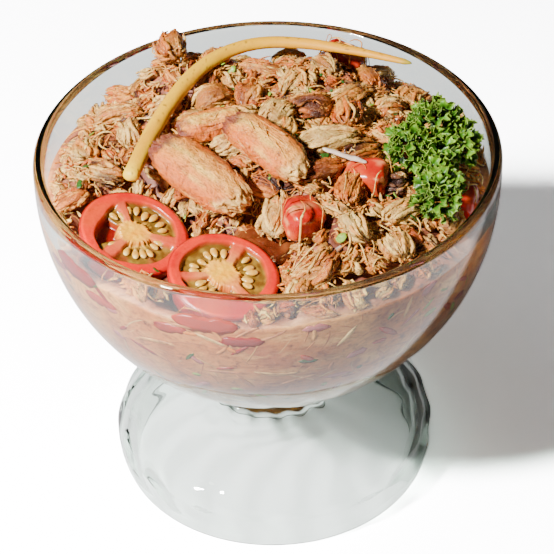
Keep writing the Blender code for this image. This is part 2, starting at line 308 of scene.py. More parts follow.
def wet_food(
    name, fibre, fibre_size, bump, roughness, flesh, scatter, coat=0.3, shade=0.12, coat_roughness=0.12
):
    """A moist food: paint gives its colour, fine noise along its rest place its grain.

    fibre is how much longer the grain is along x than across, fibre_size its width in mm, bump its
    depth in mm, flesh the subsurface weight and scatter its reach in mm. shade is the strength of the
    painted shade that darkens and browns the grain's low places, and of the painted light that
    lightens its high ones.
    """
    material, tree = new_material(name)
    paint = add(tree, "Attribute", attribute_name="paint")
    rest = add(tree, "Attribute", attribute_name="rest")
    stretch = add(tree, "Mapping", {"Vector": rest.outputs["Vector"], "Scale": (1 / fibre, 1, 1)})
    per_metre = 1 / (fibre_size * MM)
    strands = add(
        tree,
        "TexNoise",
        {"Vector": stretch.outputs["Vector"], "Scale": per_metre, "Detail": 3.0, "Roughness": 0.65},
    )
    clumps = add(
        tree,
        "TexNoise",
        {"Vector": rest.outputs["Vector"], "Scale": 0.45 * per_metre, "Detail": 4.0, "Roughness": 0.7},
    )
    height = add(tree, "Math", {0: strands.outputs["Fac"], 1: clumps.outputs["Fac"]}, operation="ADD")
    # Painted shade and light: the grain's low places are darkened and browned, its high places a little
    # lightened; tone carries this.
    low = np.array((1 - shade, 1 - 1.35 * shade, 1 - 1.6 * shade)).clip(0.05, 1)
    high = 1 + 0.35 * shade
    spread = add(tree, "MapRange", {"Value": height.outputs["Value"], 1: 0.75, 2: 1.25})
    tone = add(
        tree,
        "ValToRGB",
        {"Fac": spread.outputs["Result"]},
        stops=[(0.0, (*low, 1)), (0.45, (0.93, 0.93, 0.93, 1)), (1.0, (high, high, high, 1))],
    )
    stains = add(
        tree,
        "TexNoise",
        {"Vector": rest.outputs["Vector"], "Scale": 0.3 * per_metre, "Detail": 5.0, "Roughness": 0.75},
    )
    vein = add(
        tree,
        "ValToRGB",
        {"Fac": stains.outputs["Fac"]},
        stops=[(0.0, (1, 1, 1, 1)), (0.56, (1, 1, 1, 1)), (0.68, (*(low * low), 1))],
    )
    toned = add(
        tree,
        "VectorMath",
        {0: paint.outputs["Color"], 1: tone.outputs["Color"]},
        operation="MULTIPLY",
    )
    colour = add(
        tree, "VectorMath", {0: toned.outputs["Vector"], 1: vein.outputs["Color"]}, operation="MULTIPLY"
    )
    relief = add(
        tree,
        "Bump",
        {"Height": height.outputs["Value"], "Strength": 0.9, "Distance": bump * MM},
    )
    shader = add(
        tree,
        "BsdfPrincipled",
        {
            "Base Color": colour.outputs["Vector"],
            "Roughness": roughness,
            "IOR": 1.4,
            "Normal": relief.outputs["Normal"],
            "Subsurface Weight": flesh,
            "Subsurface Radius": (1.0, 0.45, 0.25),
            "Subsurface Scale": scatter * MM,
            "Coat Weight": coat,
            "Coat Roughness": coat_roughness,
            "Coat IOR": 1.33,
            "Coat Normal": relief.outputs["Normal"],
        },
    )
    out = add(tree, "OutputMaterial", {"Surface": shader.outputs["BSDF"]})
    out.is_active_output = True
    return material


# Pressed soda-lime glass, hand-finished: smooth and clear, with the faint green of its iron.
# A lamp's light passes straight through, so the food inside is lit as real glass lets it be.
# On the way it takes the glass's paint, a painted caustic: darker in swirling bands along the
# flutes, standing in for the light they would bend.
glass_material, tree = new_material("clear_pressed_glass")
# Painted caustic: the paint read here tints only the lamp's light let through, darker in bands along the
# flutes.
flutes = add(tree, "Attribute", attribute_name="paint")
glass_shader = add(
    tree,
    "BsdfPrincipled",
    {
        "Base Color": linear("F4F9F5"),
        "Roughness": 0.0,
        "IOR": 1.52,
        "Transmission Weight": 1.0,
    },
)
let_through = add(tree, "BsdfTransparent", {"Color": flutes.outputs["Color"]})
path = add(tree, "LightPath")
either = add(
    tree,
    "MixShader",
    {"Fac": path.outputs["Is Shadow Ray"], 1: glass_shader.outputs["BSDF"], 2: let_through.outputs["BSDF"]},
)
iron = add(tree, "VolumeAbsorption", {"Color": linear("DCE8E0"), "Density": 80.0})
add(tree, "OutputMaterial", {"Surface": either.outputs["Shader"], "Volume": iron.outputs["Volume"]})

# Cooked crab meat: moist white muscle in fine long fibres, stained peach by the shell's pigment.
crab_material = wet_food("cooked_crab_meat", 2.4, 0.42, 0.5, 0.42, 0.2, 1.1, coat=0.75, shade=0.4)
# Mixed ceviche pressed together under its juice: soft shreds of crab, onion and tomato.
mix_material = wet_food("ceviche_mix_in_juice", 4.0, 0.8, 0.2, 0.5, 0.12, 1.6, coat=0.0, shade=0.42)
# Cut ripe tomato: wet flesh with a fine pulp grain, and smooth gel round its seeds.
tomato_material = wet_food("cut_ripe_tomato", 1.0, 0.7, 0.06, 0.3, 0.1, 1.6, coat=0.5, shade=0.12)
# Sweet yellow pepper cut into a thin strip: waxy, crisp and nearly smooth.
pepper_material = wet_food("yellow_pepper_strip", 3.0, 0.5, 0.06, 0.5, 0.04, 0.8, coat=0.0, shade=0.06)
# Curly parsley: thin matt leaves with a fine vein grain.
parsley_material = wet_food("curly_parsley_leaf", 1.6, 0.5, 0.05, 0.45, 0.05, 0.5, coat=0.15, shade=0.25)
# Raw red onion slivers: glassy, wet and faintly ribbed along their length.
onion_material = wet_food("red_onion_sliver", 8.0, 0.35, 0.05, 0.22, 0.3, 1.6, coat=0.7, shade=0.12)
# Lime juice with tomato and onion in it, lying in a hollow of the heap.
juice_material = wet_food(
    "ceviche_juice", 1.0, 3.0, 0.12, 0.06, 0.1, 1.0, coat=1.0, shade=0.25, coat_roughness=0.02
)


# ---------------------------------------------------------------- glass bowl


def arc(radius, rise, middle_z, start, end, steps):
    turns = np.radians(np.linspace(start, end, steps + 1))
    return [(radius * math.cos(t), middle_z + rise * math.sin(t)) for t in turns]


def waist_curve(bowl_end, bell_start, steps):
    """The smooth neck between the bowl and the bell foot."""
    waist = Vector((WAIST_RADIUS, WAIST_Z))
    upright = Vector((0.0, WAIST_EASE))
    lean_in = Vector((-WAIST_EASE, -0.45 * WAIST_EASE))
    lean_out = Vector((WAIST_EASE, -0.55 * WAIST_EASE))
    upper = interpolate_bezier(bowl_end, bowl_end + lean_in, waist + upright, waist, steps)
    lower = interpolate_bezier(waist, waist - upright, bell_start - lean_out, bell_start, steps)
    return [tuple(point) for point in upper[1:] + lower[1:-1]]


def make_glass():
    """One turned body of glass, with soft flutes that swirl round its foot and low bowl."""
    lip = WALL / 2
    inside = arc(INNER_RADIUS, BOWL_DEPTH_IN, BAND_Z, -90, 0, 44)
    rim = [(RIM_RADIUS - lip + x, z) for x, z in arc(lip, lip, GLASS_HEIGHT - lip, 180, 0, 14)]
    bowl = arc(RIM_RADIUS, BOWL_DEPTH_OUT, BAND_Z, 0, -66, 40)
    bell = arc(BELL_RADIUS, BELL_RISE, BELL_WIDEST_Z, 54, 0, 22)
    waist = waist_curve(Vector(bowl[-1]), Vector(bell[0]), 12)
    skirt = arc(BELL_RADIUS - FOOT_RADIUS, BELL_WIDEST_Z, BELL_WIDEST_Z, 0, -90, 10)
    skirt = [(FOOT_RADIUS + out, z) for out, z in skirt[1:]]
    hollow = arc(HOLLOW_RADIUS, HOLLOW_RISE, HOLLOW_WIDEST_Z, 0, 90, 30)
    outer_start = len(inside) + len(rim)
    outer_end = outer_start + len(bowl) + len(waist) + len(bell) + len(skirt)
    ring = [(FOOT_INNER_RADIUS, 0.0), (FOOT_INNER_RADIUS + 0.2, 3.0)]
    outline = np.array(inside[1:] + rim + bowl + waist + bell + skirt + ring + hollow[:-1])
    radius = outline[:, 0][:, None]
    height = outline[:, 1][:, None]
    angle = np.linspace(0, 2 * math.pi, GLASS_SEGMENTS, endpoint=False)[None, :]
    outer = np.zeros(len(outline))
    outer[outer_start - 1 : outer_end - 1] = 1
    depth = outer[:, None] * step(height, 0.5, 5) * (1 - step(height, 40, 62))
    wave = np.cos(FLUTES * (angle + FLUTE_TWIST * (height - WAIST_Z) * 0.4))
    drift = 0.35 * np.sin(5 * angle + 0.11 * height)
    radius = radius - FLUTE_DEPTH * depth * (0.5 + 0.5 * (wave + drift))
    # Painted caustic: the glass's paint is darker along the flutes, so the lamp's light let through it falls
    # in swirling bands.
    light = 0.93 - 0.3 * depth * step(wave + drift, -0.8, 1.0)
    paint = np.repeat(light.reshape(-1, 1), 3, axis=1)
    points = np.stack(
        [radius * np.cos(angle), radius * np.sin(angle), height + 0 * angle], axis=-1
    ).reshape(-1, 3)
    rows = len(outline)
    columns = GLASS_SEGMENTS
    bottom = len(points)
    points = np.concatenate([points, [(0, 0, inside[0][1]), (0, 0, hollow[-1][1])]])
    paint = np.concatenate([paint, np.full((2, 3), 0.93)])
    around = np.arange(columns)
    after = (around + 1) % columns
    first = np.stack([np.full(columns, bottom), after, around], axis=-1)
    last_row = (rows - 1) * columns
    last = np.stack([np.full(columns, bottom + 1), last_row + around, last_row + after], axis=-1)
    faces = [part[:, ::-1] for part in (grid_faces(rows, columns), first, last)]
    glass = make_mesh("fine_glass_bowl", points, faces, glass_material, paint)
    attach(glass, "root")
    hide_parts("glass_bowl")
    return glass


make_glass()


# ---------------------------------------------------------------- the body of the ceviche

CORE_SEGMENTS = 270
CORE_LEVELS = 86
CORE_RINGS = 36
CORE_DROP = 2.1


def wall_tint_and_shade(points):
    """The colour at the wall: a warm tint, darker low down, and painted shade that darkens the side away from
    the lamp.
    """
    low = step((BAND_Z - points[:, 2]) / BOWL_DEPTH_IN, 0.1, 0.85)
    # Painted shade: the side away from the lamp, towards +x, is darker.
    away = step(points[:, 0] / INNER_RADIUS, -0.6, 0.9)
    return (1 - 0.34 * low - 0.2 * away)[:, None] * np.array([0.98, 0.8, 0.56])


def wall_paint(points):
    """What shows through the glass: pressed crab meat with pink, orange and mauve patches."""
    bend = np.stack([grain(points, 11, 5), grain(points, 11, 6), grain(points, 11, 7)], axis=-1) * 4
    p = points + bend
    # Painted shade: side leans the darker orange and brown patches towards +x, away from the lamp.
    side = points[:, 0] / INNER_RADIUS
    colour = mixed(tint("D9A06A"), tint("BF7842"), step(grain(p, 9, 11) + 0.5 * side, -0.5, 0.6))
    colour = mixed(colour, tint("CF7A48"), 0.6 * step(grain(p, (12, 12, 7), 12), 0.1, 0.7))
    colour = mixed(colour, tint("A9604C"), 0.6 * step(grain(p, (10, 10, 6), 13), 0.25, 0.7))
    colour = mixed(colour, tint("8E4E2A"), 0.55 * step(grain(p, (8, 8, 4), 14) + 0.4 * side, 0.3, 0.8))
    colour = mixed(colour, tint("E2B47E"), 0.75 * step(grain(p, (9, 9, 2.2), 15), 0.2, 0.75))
    colour = mixed(colour, tint("7E3E26"), 0.4 * step(grain(p, (6, 6, 1.6), 16), 0.45, 0.8))
    fine = grain(p, (2.4, 2.4, 0.8), 17) + 0.6 * grain(p, 0.9, 18)
    colour = mixed(colour, tint("EBC48C"), 0.35 * step(fine, 0.3, 1.0))
    return colour * wall_tint_and_shade(points)


def make_core():
    """The heap's body: it fills the bowl to the wall, a little below the loose flakes on top."""
    angles = np.linspace(0, 2 * math.pi, CORE_SEGMENTS, endpoint=False)
    edge = []
    for a in angles:
        reach = INNER_RADIUS - 1.6
        z, _ = heap_top(reach * math.cos(a), reach * math.sin(a))
        edge.append((z or 84.0) - 1.0)
    edge = np.array(edge)
    for _ in range(3):
        edge = (np.roll(edge, 1) + edge + np.roll(edge, -1)) / 3
    rows = []
    top_turn = np.arcsin(np.clip((edge - BAND_Z) / BOWL_DEPTH_IN, -1, 0))
    for i in range(CORE_LEVELS):
        t = 0.03 + 0.97 * i / (CORE_LEVELS - 1)
        turn_up = -math.pi / 2 + (top_turn + math.pi / 2) * t
        z = BAND_Z + BOWL_DEPTH_IN * np.sin(turn_up)
        r = wall_radius(z) + FOOD_REACH
        rows.append(np.stack([r * np.cos(angles), r * np.sin(angles), z], axis=-1))
    for i in range(1, CORE_RINGS):
        reach = (INNER_RADIUS - 0.6) * (1 - i / CORE_RINGS)
        row = []
        for a, z_edge in zip(angles, edge):
            x = reach * math.cos(a)
            y = reach * math.sin(a)
            z, _ = heap_top(x, y)
            z = (z or z_edge) - CORE_DROP * min(1, i / 4)
            row.append((x, y, z))
        rows.append(np.array(row))
    points = np.concatenate(rows)
    top = len(rows) - CORE_LEVELS
    start = CORE_LEVELS * CORE_SEGMENTS
    noise = 0.9 * grain(points[start:], 2.6, 21) + 0.4 * grain(points[start:], 1.1, 22)
    fade = np.repeat(step(np.arange(1, top + 1), 0, 4), CORE_SEGMENTS)
    points[start:, 2] += noise * fade
    bottom = len(points)
    centre_z, _ = heap_top(0, 0)
    ends = [(0, 0, BAND_Z - BOWL_DEPTH_IN - FOOD_REACH), (0, 0, centre_z - CORE_DROP)]
    points = np.concatenate([points, ends])
    around = np.arange(CORE_SEGMENTS)
    after = (around + 1) % CORE_SEGMENTS
    last_row = (len(rows) - 1) * CORE_SEGMENTS
    low = np.stack([np.full(CORE_SEGMENTS, bottom), after, around], axis=-1)
    high = np.stack([np.full(CORE_SEGMENTS, bottom + 1), last_row + around, last_row + after], axis=-1)
    paint = wall_paint(points)
    above = np.arange(len(points)) >= start
    # Painted shade: the body's top, seen only in the gaps between the flakes, is painted dark brown.
    deep = mixed(tint("9C5A40"), tint("6E3A2C"), step(grain(points, 4, 23), -0.3, 0.6))
    deep = mixed(deep, tint("C98B66"), 0.6 * step(grain(points, 3, 24), 0.2, 0.7))
    paint = np.where(above[:, None], deep, paint)
    core = make_mesh(
        "ceviche_body", points, [grid_faces(len(rows), CORE_SEGMENTS), low, high], mix_material, paint, points
    )
    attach(core, "root")
    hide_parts("ceviche_mix")
    return core


make_core()


# ---------------------------------------------------------------- strands, flakes and chunks of crab

CREAM = tint("F0C06A")
PALE_PEACH = tint("E6963C")
PEACH = tint("D67020")
ORANGE = tint("C25414")
RED_ORANGE = tint("A83214")
MEMBRANE = tint("5A2318")
DARK = tint("2A1412")


def crab_paint(relief, rest, tone, stain, seed):
    """Colours of crab meat: tone 0 cream to 1 orange, stain 0 to 1 for dark membrane on it."""
    blush = grain(rest, (7, 3.5, 3.5), seed + 31)
    amount = np.clip(tone + 0.35 * blush, 0, 1)
    colour = mixed(CREAM, PALE_PEACH, step(amount, 0.0, 0.35))
    colour = mixed(colour, PEACH, step(amount, 0.3, 0.65))
    colour = mixed(colour, ORANGE, step(amount, 0.62, 1.0))
    # Painted shade: where relief is low, in the hollows, the meat is darkened and browned.
    colour = mixed(colour, colour * np.array([0.62, 0.42, 0.3]), step(-relief, 0.0, 0.9))
    patch = grain(rest, (9, 2.6, 2.6), seed + 37)
    colour = mixed(colour, MEMBRANE, stain * step(patch, 0.1 - 0.5 * stain, 0.45))
    colour = mixed(colour, DARK, stain * step(patch, 0.45 - 0.5 * stain, 0.8))
    return colour


GOLDEN_ANGLE = math.pi * (3 - math.sqrt(5))


def tubes(lines, radii, around=5, flat=1.0):
    """Closed tubes along many lines at once: lines is (count, steps, 3), radii (count, steps)."""
    ahead = np.gradient(lines, axis=1)
    ahead /= np.linalg.norm(ahead, axis=-1, keepdims=True) + 1e-9
    side = np.cross(ahead, (0.03, 0.05, 1.0))
    side /= np.linalg.norm(side, axis=-1, keepdims=True) + 1e-9
    over = np.cross(side, ahead)
    a = np.linspace(0, 2 * math.pi, around, endpoint=False)[:, None]
    ring = np.cos(a) * side[:, :, None, :] + flat * np.sin(a) * over[:, :, None, :]
    points = lines[:, :, None, :] + radii[:, :, None, None] * ring
    count, steps = radii.shape
    shift = (np.arange(count) * steps * around)[:, None, None]
    faces = [(f[None] + shift).reshape(-1, f.shape[1]) for f in tube_faces(steps, around)]
    return points.reshape(-1, 3), faces


def fibres(size, seed, count, thick, short):
    """Strands lying along the upper side of a chunk; short ones are broken bits set every way."""
    length, width, depth = size
    rng = np.random.default_rng(seed + 900)
    t = np.linspace(0, 1, 5 if short else 9)[None, :]
    turn_at = rng.uniform(-0.5, math.pi + 0.5, (count, 1))
    run = rng.uniform(0.08, 0.24, (count, 1)) if short else rng.uniform(0.35, 0.85, (count, 1))
    x = length * (rng.uniform(-0.52, 0.52 - run * 0.9, (count, 1)) + run * t)
    inside = np.sqrt(np.clip(1 - (2 * x / length) ** 2 * 0.8, 0.1, 1))
    loose = 0.93 + 0.14 * (2 * t - 1) ** 4 + rng.normal(0, 0.06, (count, 1))
    swing = turn_at + rng.normal(0, 0.35, (count, 1)) * t
    y = 0.5 * width * np.cos(swing) * inside * loose
    z = 0.5 * depth * np.sin(swing) * inside * loose
    wobble = rng.normal(0, 1, (count, 1)) * np.sin(t * 5 + rng.uniform(0, 6, (count, 1)))
    lines = np.stack([x, y + 0.25 * wobble, z + 0.12 * wobble], axis=-1)
    radii = thick * rng.uniform(0.6, 1.3, (count, 1)) * (0.25 + 0.75 * (1 - np.abs(2 * t - 1) ** 3))
    return lines, radii


def bundles(size, seed, count, thick, steps):
    """Thick strands of muscle packed side by side round a chunk, parting a little at their ends."""
    length, width, depth = size
    rng = np.random.default_rng(seed + 300)
    t = np.linspace(-1, 1, steps)[None, :]
    start = GOLDEN_ANGLE * np.arange(count)[:, None] + rng.normal(0, 0.25, (count, 1))
    reach = rng.uniform(0.6, 0.95, (count, 1))
    half = rng.uniform(0.42, 0.92, (count, 1))
    u = rng.uniform(-1, 1, (count, 1)) * (1.02 - half) + half * t
    body = np.sqrt(np.clip(1 - np.abs(u) ** 3, 0.1, 1)) * (1 + 0.3 * np.abs(t) ** 4 * rng.random((count, 1)))
    swing = start + rng.normal(0, 0.3, (count, 1)) * t
    sway = 0.3 * rng.normal(0, 1, (count, 1)) * np.sin(2.6 * t + rng.uniform(0, 6, (count, 1)))
    y = 0.5 * width * reach * np.cos(swing) * body + sway
    z = 0.5 * depth * reach * np.sin(swing) * body + 0.5 * sway
    radii = thick * rng.uniform(0.55, 1.25, (count, 1)) * (0.2 + 0.8 * np.sqrt(1 - np.abs(t) ** 2.6))
    return np.stack([0.5 * length * u, y, z], axis=-1), radii


def crab_chunk(
    size, seed, along=20, around=18, tone=0.3, stain=0.0, bundle=1.4, fray=0.16, bend=0.06,
    blunt=2.8, corner=0.9, strands=0, strand_thick=0.6, steps=10, hairs=5, bits=0, thick=0.42,
    lumpy=0.22, crumble=1.0, paint_as=None,
):
    """One chunk of crab meat lying along x: a broken body, strands round it, hairs and loose bits.

    strand_thick and thick are the radii of strands and hairs; crumble is how rough the body has
    broken. With strands the body is smaller and painted darker, as painted shade in the gaps between
    them, where alone it shows.
    """
    length, width, depth = size
    t = -np.cos(np.linspace(0.0, math.pi, along))
    turns = np.linspace(0, 2 * math.pi, around, endpoint=False)
    t, a = [v.ravel() for v in np.meshgrid(t, turns, indexing="ij")]
    body = np.maximum(np.maximum(1 - np.abs(t) ** blunt, 0.0) ** (1 / 2.2), 0.04)
    y = 0.5 * width * signed_power(np.cos(a), corner) * body
    z = 0.5 * depth * signed_power(np.sin(a), corner) * body
    rest = np.stack([t * length / 2, y, z], axis=-1) * (0.8 if strands else 1.0)
    lumps = grain(rest, (0.32 * length, 0.6 * width, 0.6 * depth), seed + 1)
    clumps = grain(rest, (2.2 * bundle, 1.5 * bundle, 1.5 * bundle), seed + 6)
    ridges = grain(rest, (3.6 * bundle, 0.7 * bundle, 0.7 * bundle), seed + 2)
    fine = grain(rest, 0.55 * bundle, seed + 3)
    broken = 1 - 2 * np.abs(grain(rest, 0.95 * bundle, seed + 8))
    out = np.stack([0.5 * t, np.cos(a), np.sin(a)], axis=-1)
    out /= np.linalg.norm(out, axis=-1, keepdims=True)
    proud = 0.3 * clumps * (lumpy > 0) + crumble * (0.18 * ridges + 0.16 * fine + 0.3 * broken)
    points = rest * np.stack([1 + 0 * t, 1 + lumpy * lumps, 1 + lumpy * lumps], axis=-1)
    points = points + out * (proud * min(1.0, 0.16 * min(width, depth) + 0.1))[:, None]
    tips = grain(np.stack([np.sign(t) * 9, y, z], axis=-1), 0.8 * bundle, seed + 4)
    points[:, 0] += 0.5 * length * fray * tips * step(np.abs(t), 0.45, 1.0) * np.sign(t)
    relief = 0.4 * ridges + 0.45 * fine + 0.4 * clumps + 0.5 * broken
    faces = tube_faces(along, around)
    # Painted shade: with strands the body is painted 0.62 times as bright, so the gaps read dark.
    paint = crab_paint(relief, rest, tone, stain, seed) * (0.62 if strands else 1.0)
    if paint_as is not None:
        paint = paint_as(paint, rest, relief)
    layers = []
    if strands:
        layers.append((*bundles(size, seed, strands, strand_thick, steps), 5, 0.3))
    if hairs:
        layers.append((*fibres(size, seed, hairs, thick, False), 4, 0.1))
    if bits:
        layers.append((*fibres(size, seed + 1, bits, 1.5 * thick, True), 4, 0.2))
    for k, (lines, radii, sides, rough) in enumerate(layers):
        rng = np.random.default_rng(seed + 77 + k)
        more, more_faces = tubes(lines, radii, sides)
        each = len(more) // len(lines)
        bump = np.stack([grain(more, 0.75 * bundle, seed + 51 + j) for j in range(3)], axis=-1)
        own = np.repeat(rng.normal(0, 0.16, len(lines)), each)
        level = 0.6 * grain(more, 0.7 * bundle, seed + 55)
        level = level + np.repeat(rng.uniform(-0.5, 0.5, len(lines)), each)
        pale = crab_paint(level, more, tone - 0.06 + own, (0.9 - 0.5 * k) * stain * (k < 2), seed)
        if paint_as is not None:
            pale = 0.5 * pale + 0.5 * paint_as(pale, more, level)
        faces = faces + [f + len(points) for f in more_faces]
        points = np.concatenate([points, more + rough * bump])
        paint = np.concatenate([paint, pale])
        rest = np.concatenate([rest, more])
    rng = np.random.default_rng(seed)
    lift, sway = rng.normal(0, bend, 2)
    off = (2 * points[:, 0] / length) ** 2 - 0.3
    points[:, 2] -= lift * length * off
    points[:, 1] += sway * length * off
    return points, faces, paint, rest + 40 * (seed % 53)


flesh = {"pale": Batch(), "peach": Batch(), "brown": Batch()}


def painted_low_shade(paint, points, surface_z, depth=2.6):
    """Meat lower in the heap is painted darker and browner: painted shade where chunks sink among the others.
    """
    low = step(surface_z + 0.4 - points[:, 2], 0.0, depth)
    return mixed(paint, paint * np.array([0.4, 0.27, 0.2]), 0.85 * low)


def lay_chunk(kind, x, y, size, seed, yaw=None, lift=0.0, tip=0.0, **look):
    """Lays a chunk on the heap, half sunk in it."""
    rng = np.random.default_rng(seed + 5000)
    z, normal = heap_top(x, y)
    if z is None:
        return
    yaw = rng.uniform(0, math.pi * 2) if yaw is None else math.radians(yaw)
    normal = (normal + Vector((0, 0, 1.2))).normalized()
    points, faces, paint, rest = crab_chunk(size, seed, **look)
    roll = Matrix.Rotation(rng.uniform(-0.4, 0.4), 3, "X")
    points = turn(points, laid(normal, yaw, math.radians(tip)) @ roll, (x, y, z + lift))
    # Painted shade: the lower part of each chunk, sunk into the heap, is darkened and browned.
    paint = painted_low_shade(paint, points, z, 0.5 * size[2] + 1.2)
    flesh[kind].put(pressed(points, HEAP_CLEARANCE - 0.2), faces, paint, rest)


# The chunks that stand out, set round the second whole leg: what each is, how far it lies
# from the leg's middle to the right and back, length, width and yaw, in mm and degrees.
KEY_CHUNKS = {
    "dark_knot": ((10, 19), (11, 9), 25, dict(kind="brown", tone=0.5, stain=0.95, lift=1.2)),
    "round_peach": ((19, 17), (10, 8), 80, dict(kind="peach", tone=0.45, stain=0.2, lift=1.8)),
    "white_flake": ((14, 6), (16, 8), 15, dict(kind="pale", tone=0.0, lift=2.2)),
    "cream_frill": ((2, 14), (10, 7), 45, dict(kind="pale", tone=0.05, lift=1.6)),
    "ridge": ((11, -5), (13, 5), 25, dict(kind="peach", tone=0.8, stain=0.5, lift=1.6)),
    "dark_nook": ((-1, -6), (8, 6), -30, dict(kind="brown", tone=0.5, stain=0.95, lift=0.4)),
    "cream_lump": ((1, -13), (13, 8), 80, dict(kind="pale", tone=0.12, lift=2.0)),
    "between_legs": ((-9, 5), (9, 8), 25, dict(kind="pale", tone=0.08, lift=0.6)),
    "behind_legs": ((-13, 24), (11, 9), 20, dict(kind="pale", tone=0.35, stain=0.4, lift=1.6)),
    "front_orange": ((10, -32), (12, 8), 30, dict(kind="peach", tone=0.35, stain=0.3, lift=0.6)),
    "front_speckled": ((19, -22), (10, 7), -60, dict(kind="pale", tone=0.1, stain=0.4, lift=1.0)),
    "back_peak": ((-23, 38), (10, 8), -85, dict(kind="brown", tone=0.45, stain=0.8, lift=3.2)),
}
CHUNK_COUNT = 64            # places in the sunflower, before those under a topping are left out
CHUNK_MARGIN = 3.5

TOPPINGS = [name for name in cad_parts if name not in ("glass_bowl", "ceviche_mix", "pepper_strip")]
POOL = (-6.5, -24.5)
# Middle x, y and clear radius of what loose flakes keep out of: tomato halves and pool.
CLEAR_ROOMS = [(*middle("tomato_half_" + side).xy, 12.9) for side in ("left", "right")] + [(*POOL, 2.4)]


def in_room(x, y, spare=0.0):
    return any(math.hypot(x - cx, y - cy) < r + spare for cx, cy, r in CLEAR_ROOMS)


def under_topping(x, y):
    """Whether a place on the heap lies well under one of the CAD's toppings."""
    for name in TOPPINGS:
        low, high = [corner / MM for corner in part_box(name)]
        reach = 0.32 * (high - low)
        centre = middle(name)
        if abs(x - centre.x) < reach.x and abs(y - centre.y) < reach.y:
            return True
    return False


def lay_big_chunk(kind, x, y, length, width, seed, **look):
    lay_chunk(
        kind, x, y, (length, width, 0.72 * min(width, 8.5)), seed, along=14, around=12, bundle=1.0,
        fray=0.2, strands=24, strand_thick=0.64, steps=8, hairs=5, bits=14, thick=0.15, lumpy=0.3,
        crumble=1.2, **look,
    )


def lay_big_chunks():
    """The listed chunks, then the rest like seeds in a sunflower: cream in front, peach behind."""
    leg = middle("crab_leg_2")
    taken = []
    for i, ((right, back), (length, width), yaw, look) in enumerate(KEY_CHUNKS.values()):
        x, y = leg.x + right, leg.y + back
        taken.append((x, y))
        lay_big_chunk(x=x, y=y, length=length, width=width, seed=20 + 11 * i, yaw=yaw, **look)
    rng = np.random.default_rng(11)
    for i in range(CHUNK_COUNT):
        reach = (INNER_RADIUS - CHUNK_MARGIN) * math.sqrt((i + 0.5) / CHUNK_COUNT)
        x, y = reach * math.cos(i * GOLDEN_ANGLE), reach * math.sin(i * GOLDEN_ANGLE)
        behind = y / INNER_RADIUS
        tone = float(np.clip(0.3 + 0.18 * behind + rng.normal(0, 0.16), 0, 0.85))
        dark, length, width = rng.random(), rng.uniform(7.0, 13.0), rng.uniform(4.6, 7.8)
        lift = rng.uniform(0.2, 1.8)
        crowded = any(math.hypot(x - cx, y - cy) < 5.5 for cx, cy in taken)
        if crowded or under_topping(x, y) or in_room(x, y, 1.5):
            continue
        stain = 0.9 if dark < 0.12 else 0.35 if dark < 0.4 else 0.0
        kind = "brown" if stain > 0.8 else "pale" if tone < 0.28 else "peach"
        lay_big_chunk(kind, x, y, length, width, 400 + 11 * i, tone=tone, stain=stain, lift=lift)


def strew_flakes():
    """Small flakes between the big chunks, over the whole heap."""
    rng = np.random.default_rng(7)
    spacing = 4.0
    steps = int(INNER_RADIUS / spacing) + 1
    seed = 100
    for i in range(-steps, steps + 1):
        for j in range(-steps, steps + 1):
            x = i * spacing + rng.uniform(-1.6, 1.6)
            y = j * spacing + rng.uniform(-1.6, 1.6)
            seed += 1
            pick, tone, stain, sizes = rng.random(), rng.normal(0.34, 0.2), rng.random(), rng.random(3)
            lift = rng.uniform(-0.6, 0.2)
            tip = rng.uniform(-16, 16)
            if math.hypot(x, y) > INNER_RADIUS - 1.5 or in_room(x, y, 1.4):
                continue
            size = (4.0 + 5.0 * sizes[0] ** 1.5, 2.4 + 2.0 * sizes[1], 2.2 + 1.4 * sizes[2])
            kind = "pale" if tone < 0.3 else "peach"
            if pick > 0.87:
                kind, tone = "brown", 0.7
            dark = 0.85 if kind == "brown" else 0.6 * (stain > 0.72)
            lay_chunk(
                kind, x, y, size, seed, lift=lift, tip=tip, tone=tone, stain=dark,
                along=6, around=6, bundle=0.9, strands=7, strand_thick=0.46, steps=6, hairs=1, bits=2,
                thick=0.16, lumpy=0.3,
            )


THREAD_COUNT = 640
CRUMB_COUNT = 1900


def strew_threads():
    """Fine loose threads of meat, curling over the heap."""
    rng = np.random.default_rng(19)
    lines = []
    for _ in range(THREAD_COUNT):
        reach = INNER_RADIUS * math.sqrt(rng.uniform(0, 0.93))
        where = rng.uniform(0, 2 * math.pi)
        x, y = reach * math.cos(where), reach * math.sin(where)
        heading = rng.uniform(0, 2 * math.pi)
        curl = rng.normal(0, 0.32)
        pace = rng.uniform(0.45, 1.05)
        top = rng.uniform(0.3, 1.7)
        line = []
        for k in range(9):
            z, _ = heap_top(x, y, draped_tree)
            if z is None or in_room(x, y, -0.2) or math.hypot(x, y) > INNER_RADIUS - 0.7:
                break
            arch = 1 - ((k - 4) / 4) ** 2
            line.append((x, y, z + 0.2 + top * (0.35 + 0.65 * arch)))
            x += pace * math.cos(heading)
            y += pace * math.sin(heading)
            heading += curl + rng.normal(0, 0.16)
        if len(line) == 9:
            lines.append(line)
    lines = np.array(lines)
    count = len(lines)
    t = np.linspace(-1, 1, 9)[None, :]
    radii = rng.uniform(0.1, 0.26, (count, 1)) * (0.35 + 0.65 * (1 - np.abs(t) ** 3))
    points, faces = tubes(lines, radii, around=4)
    each = len(points) // count
    tone = np.repeat(rng.normal(0.22, 0.2, count), each)
    paint = crab_paint(np.full(len(points), 0.3), points, tone, 0.0, 3)
    threads = Batch()
    threads.put(pressed(points, HEAP_CLEARANCE), faces, paint, points)
    threads.make("crab_threads", crab_material, "crab_meat")


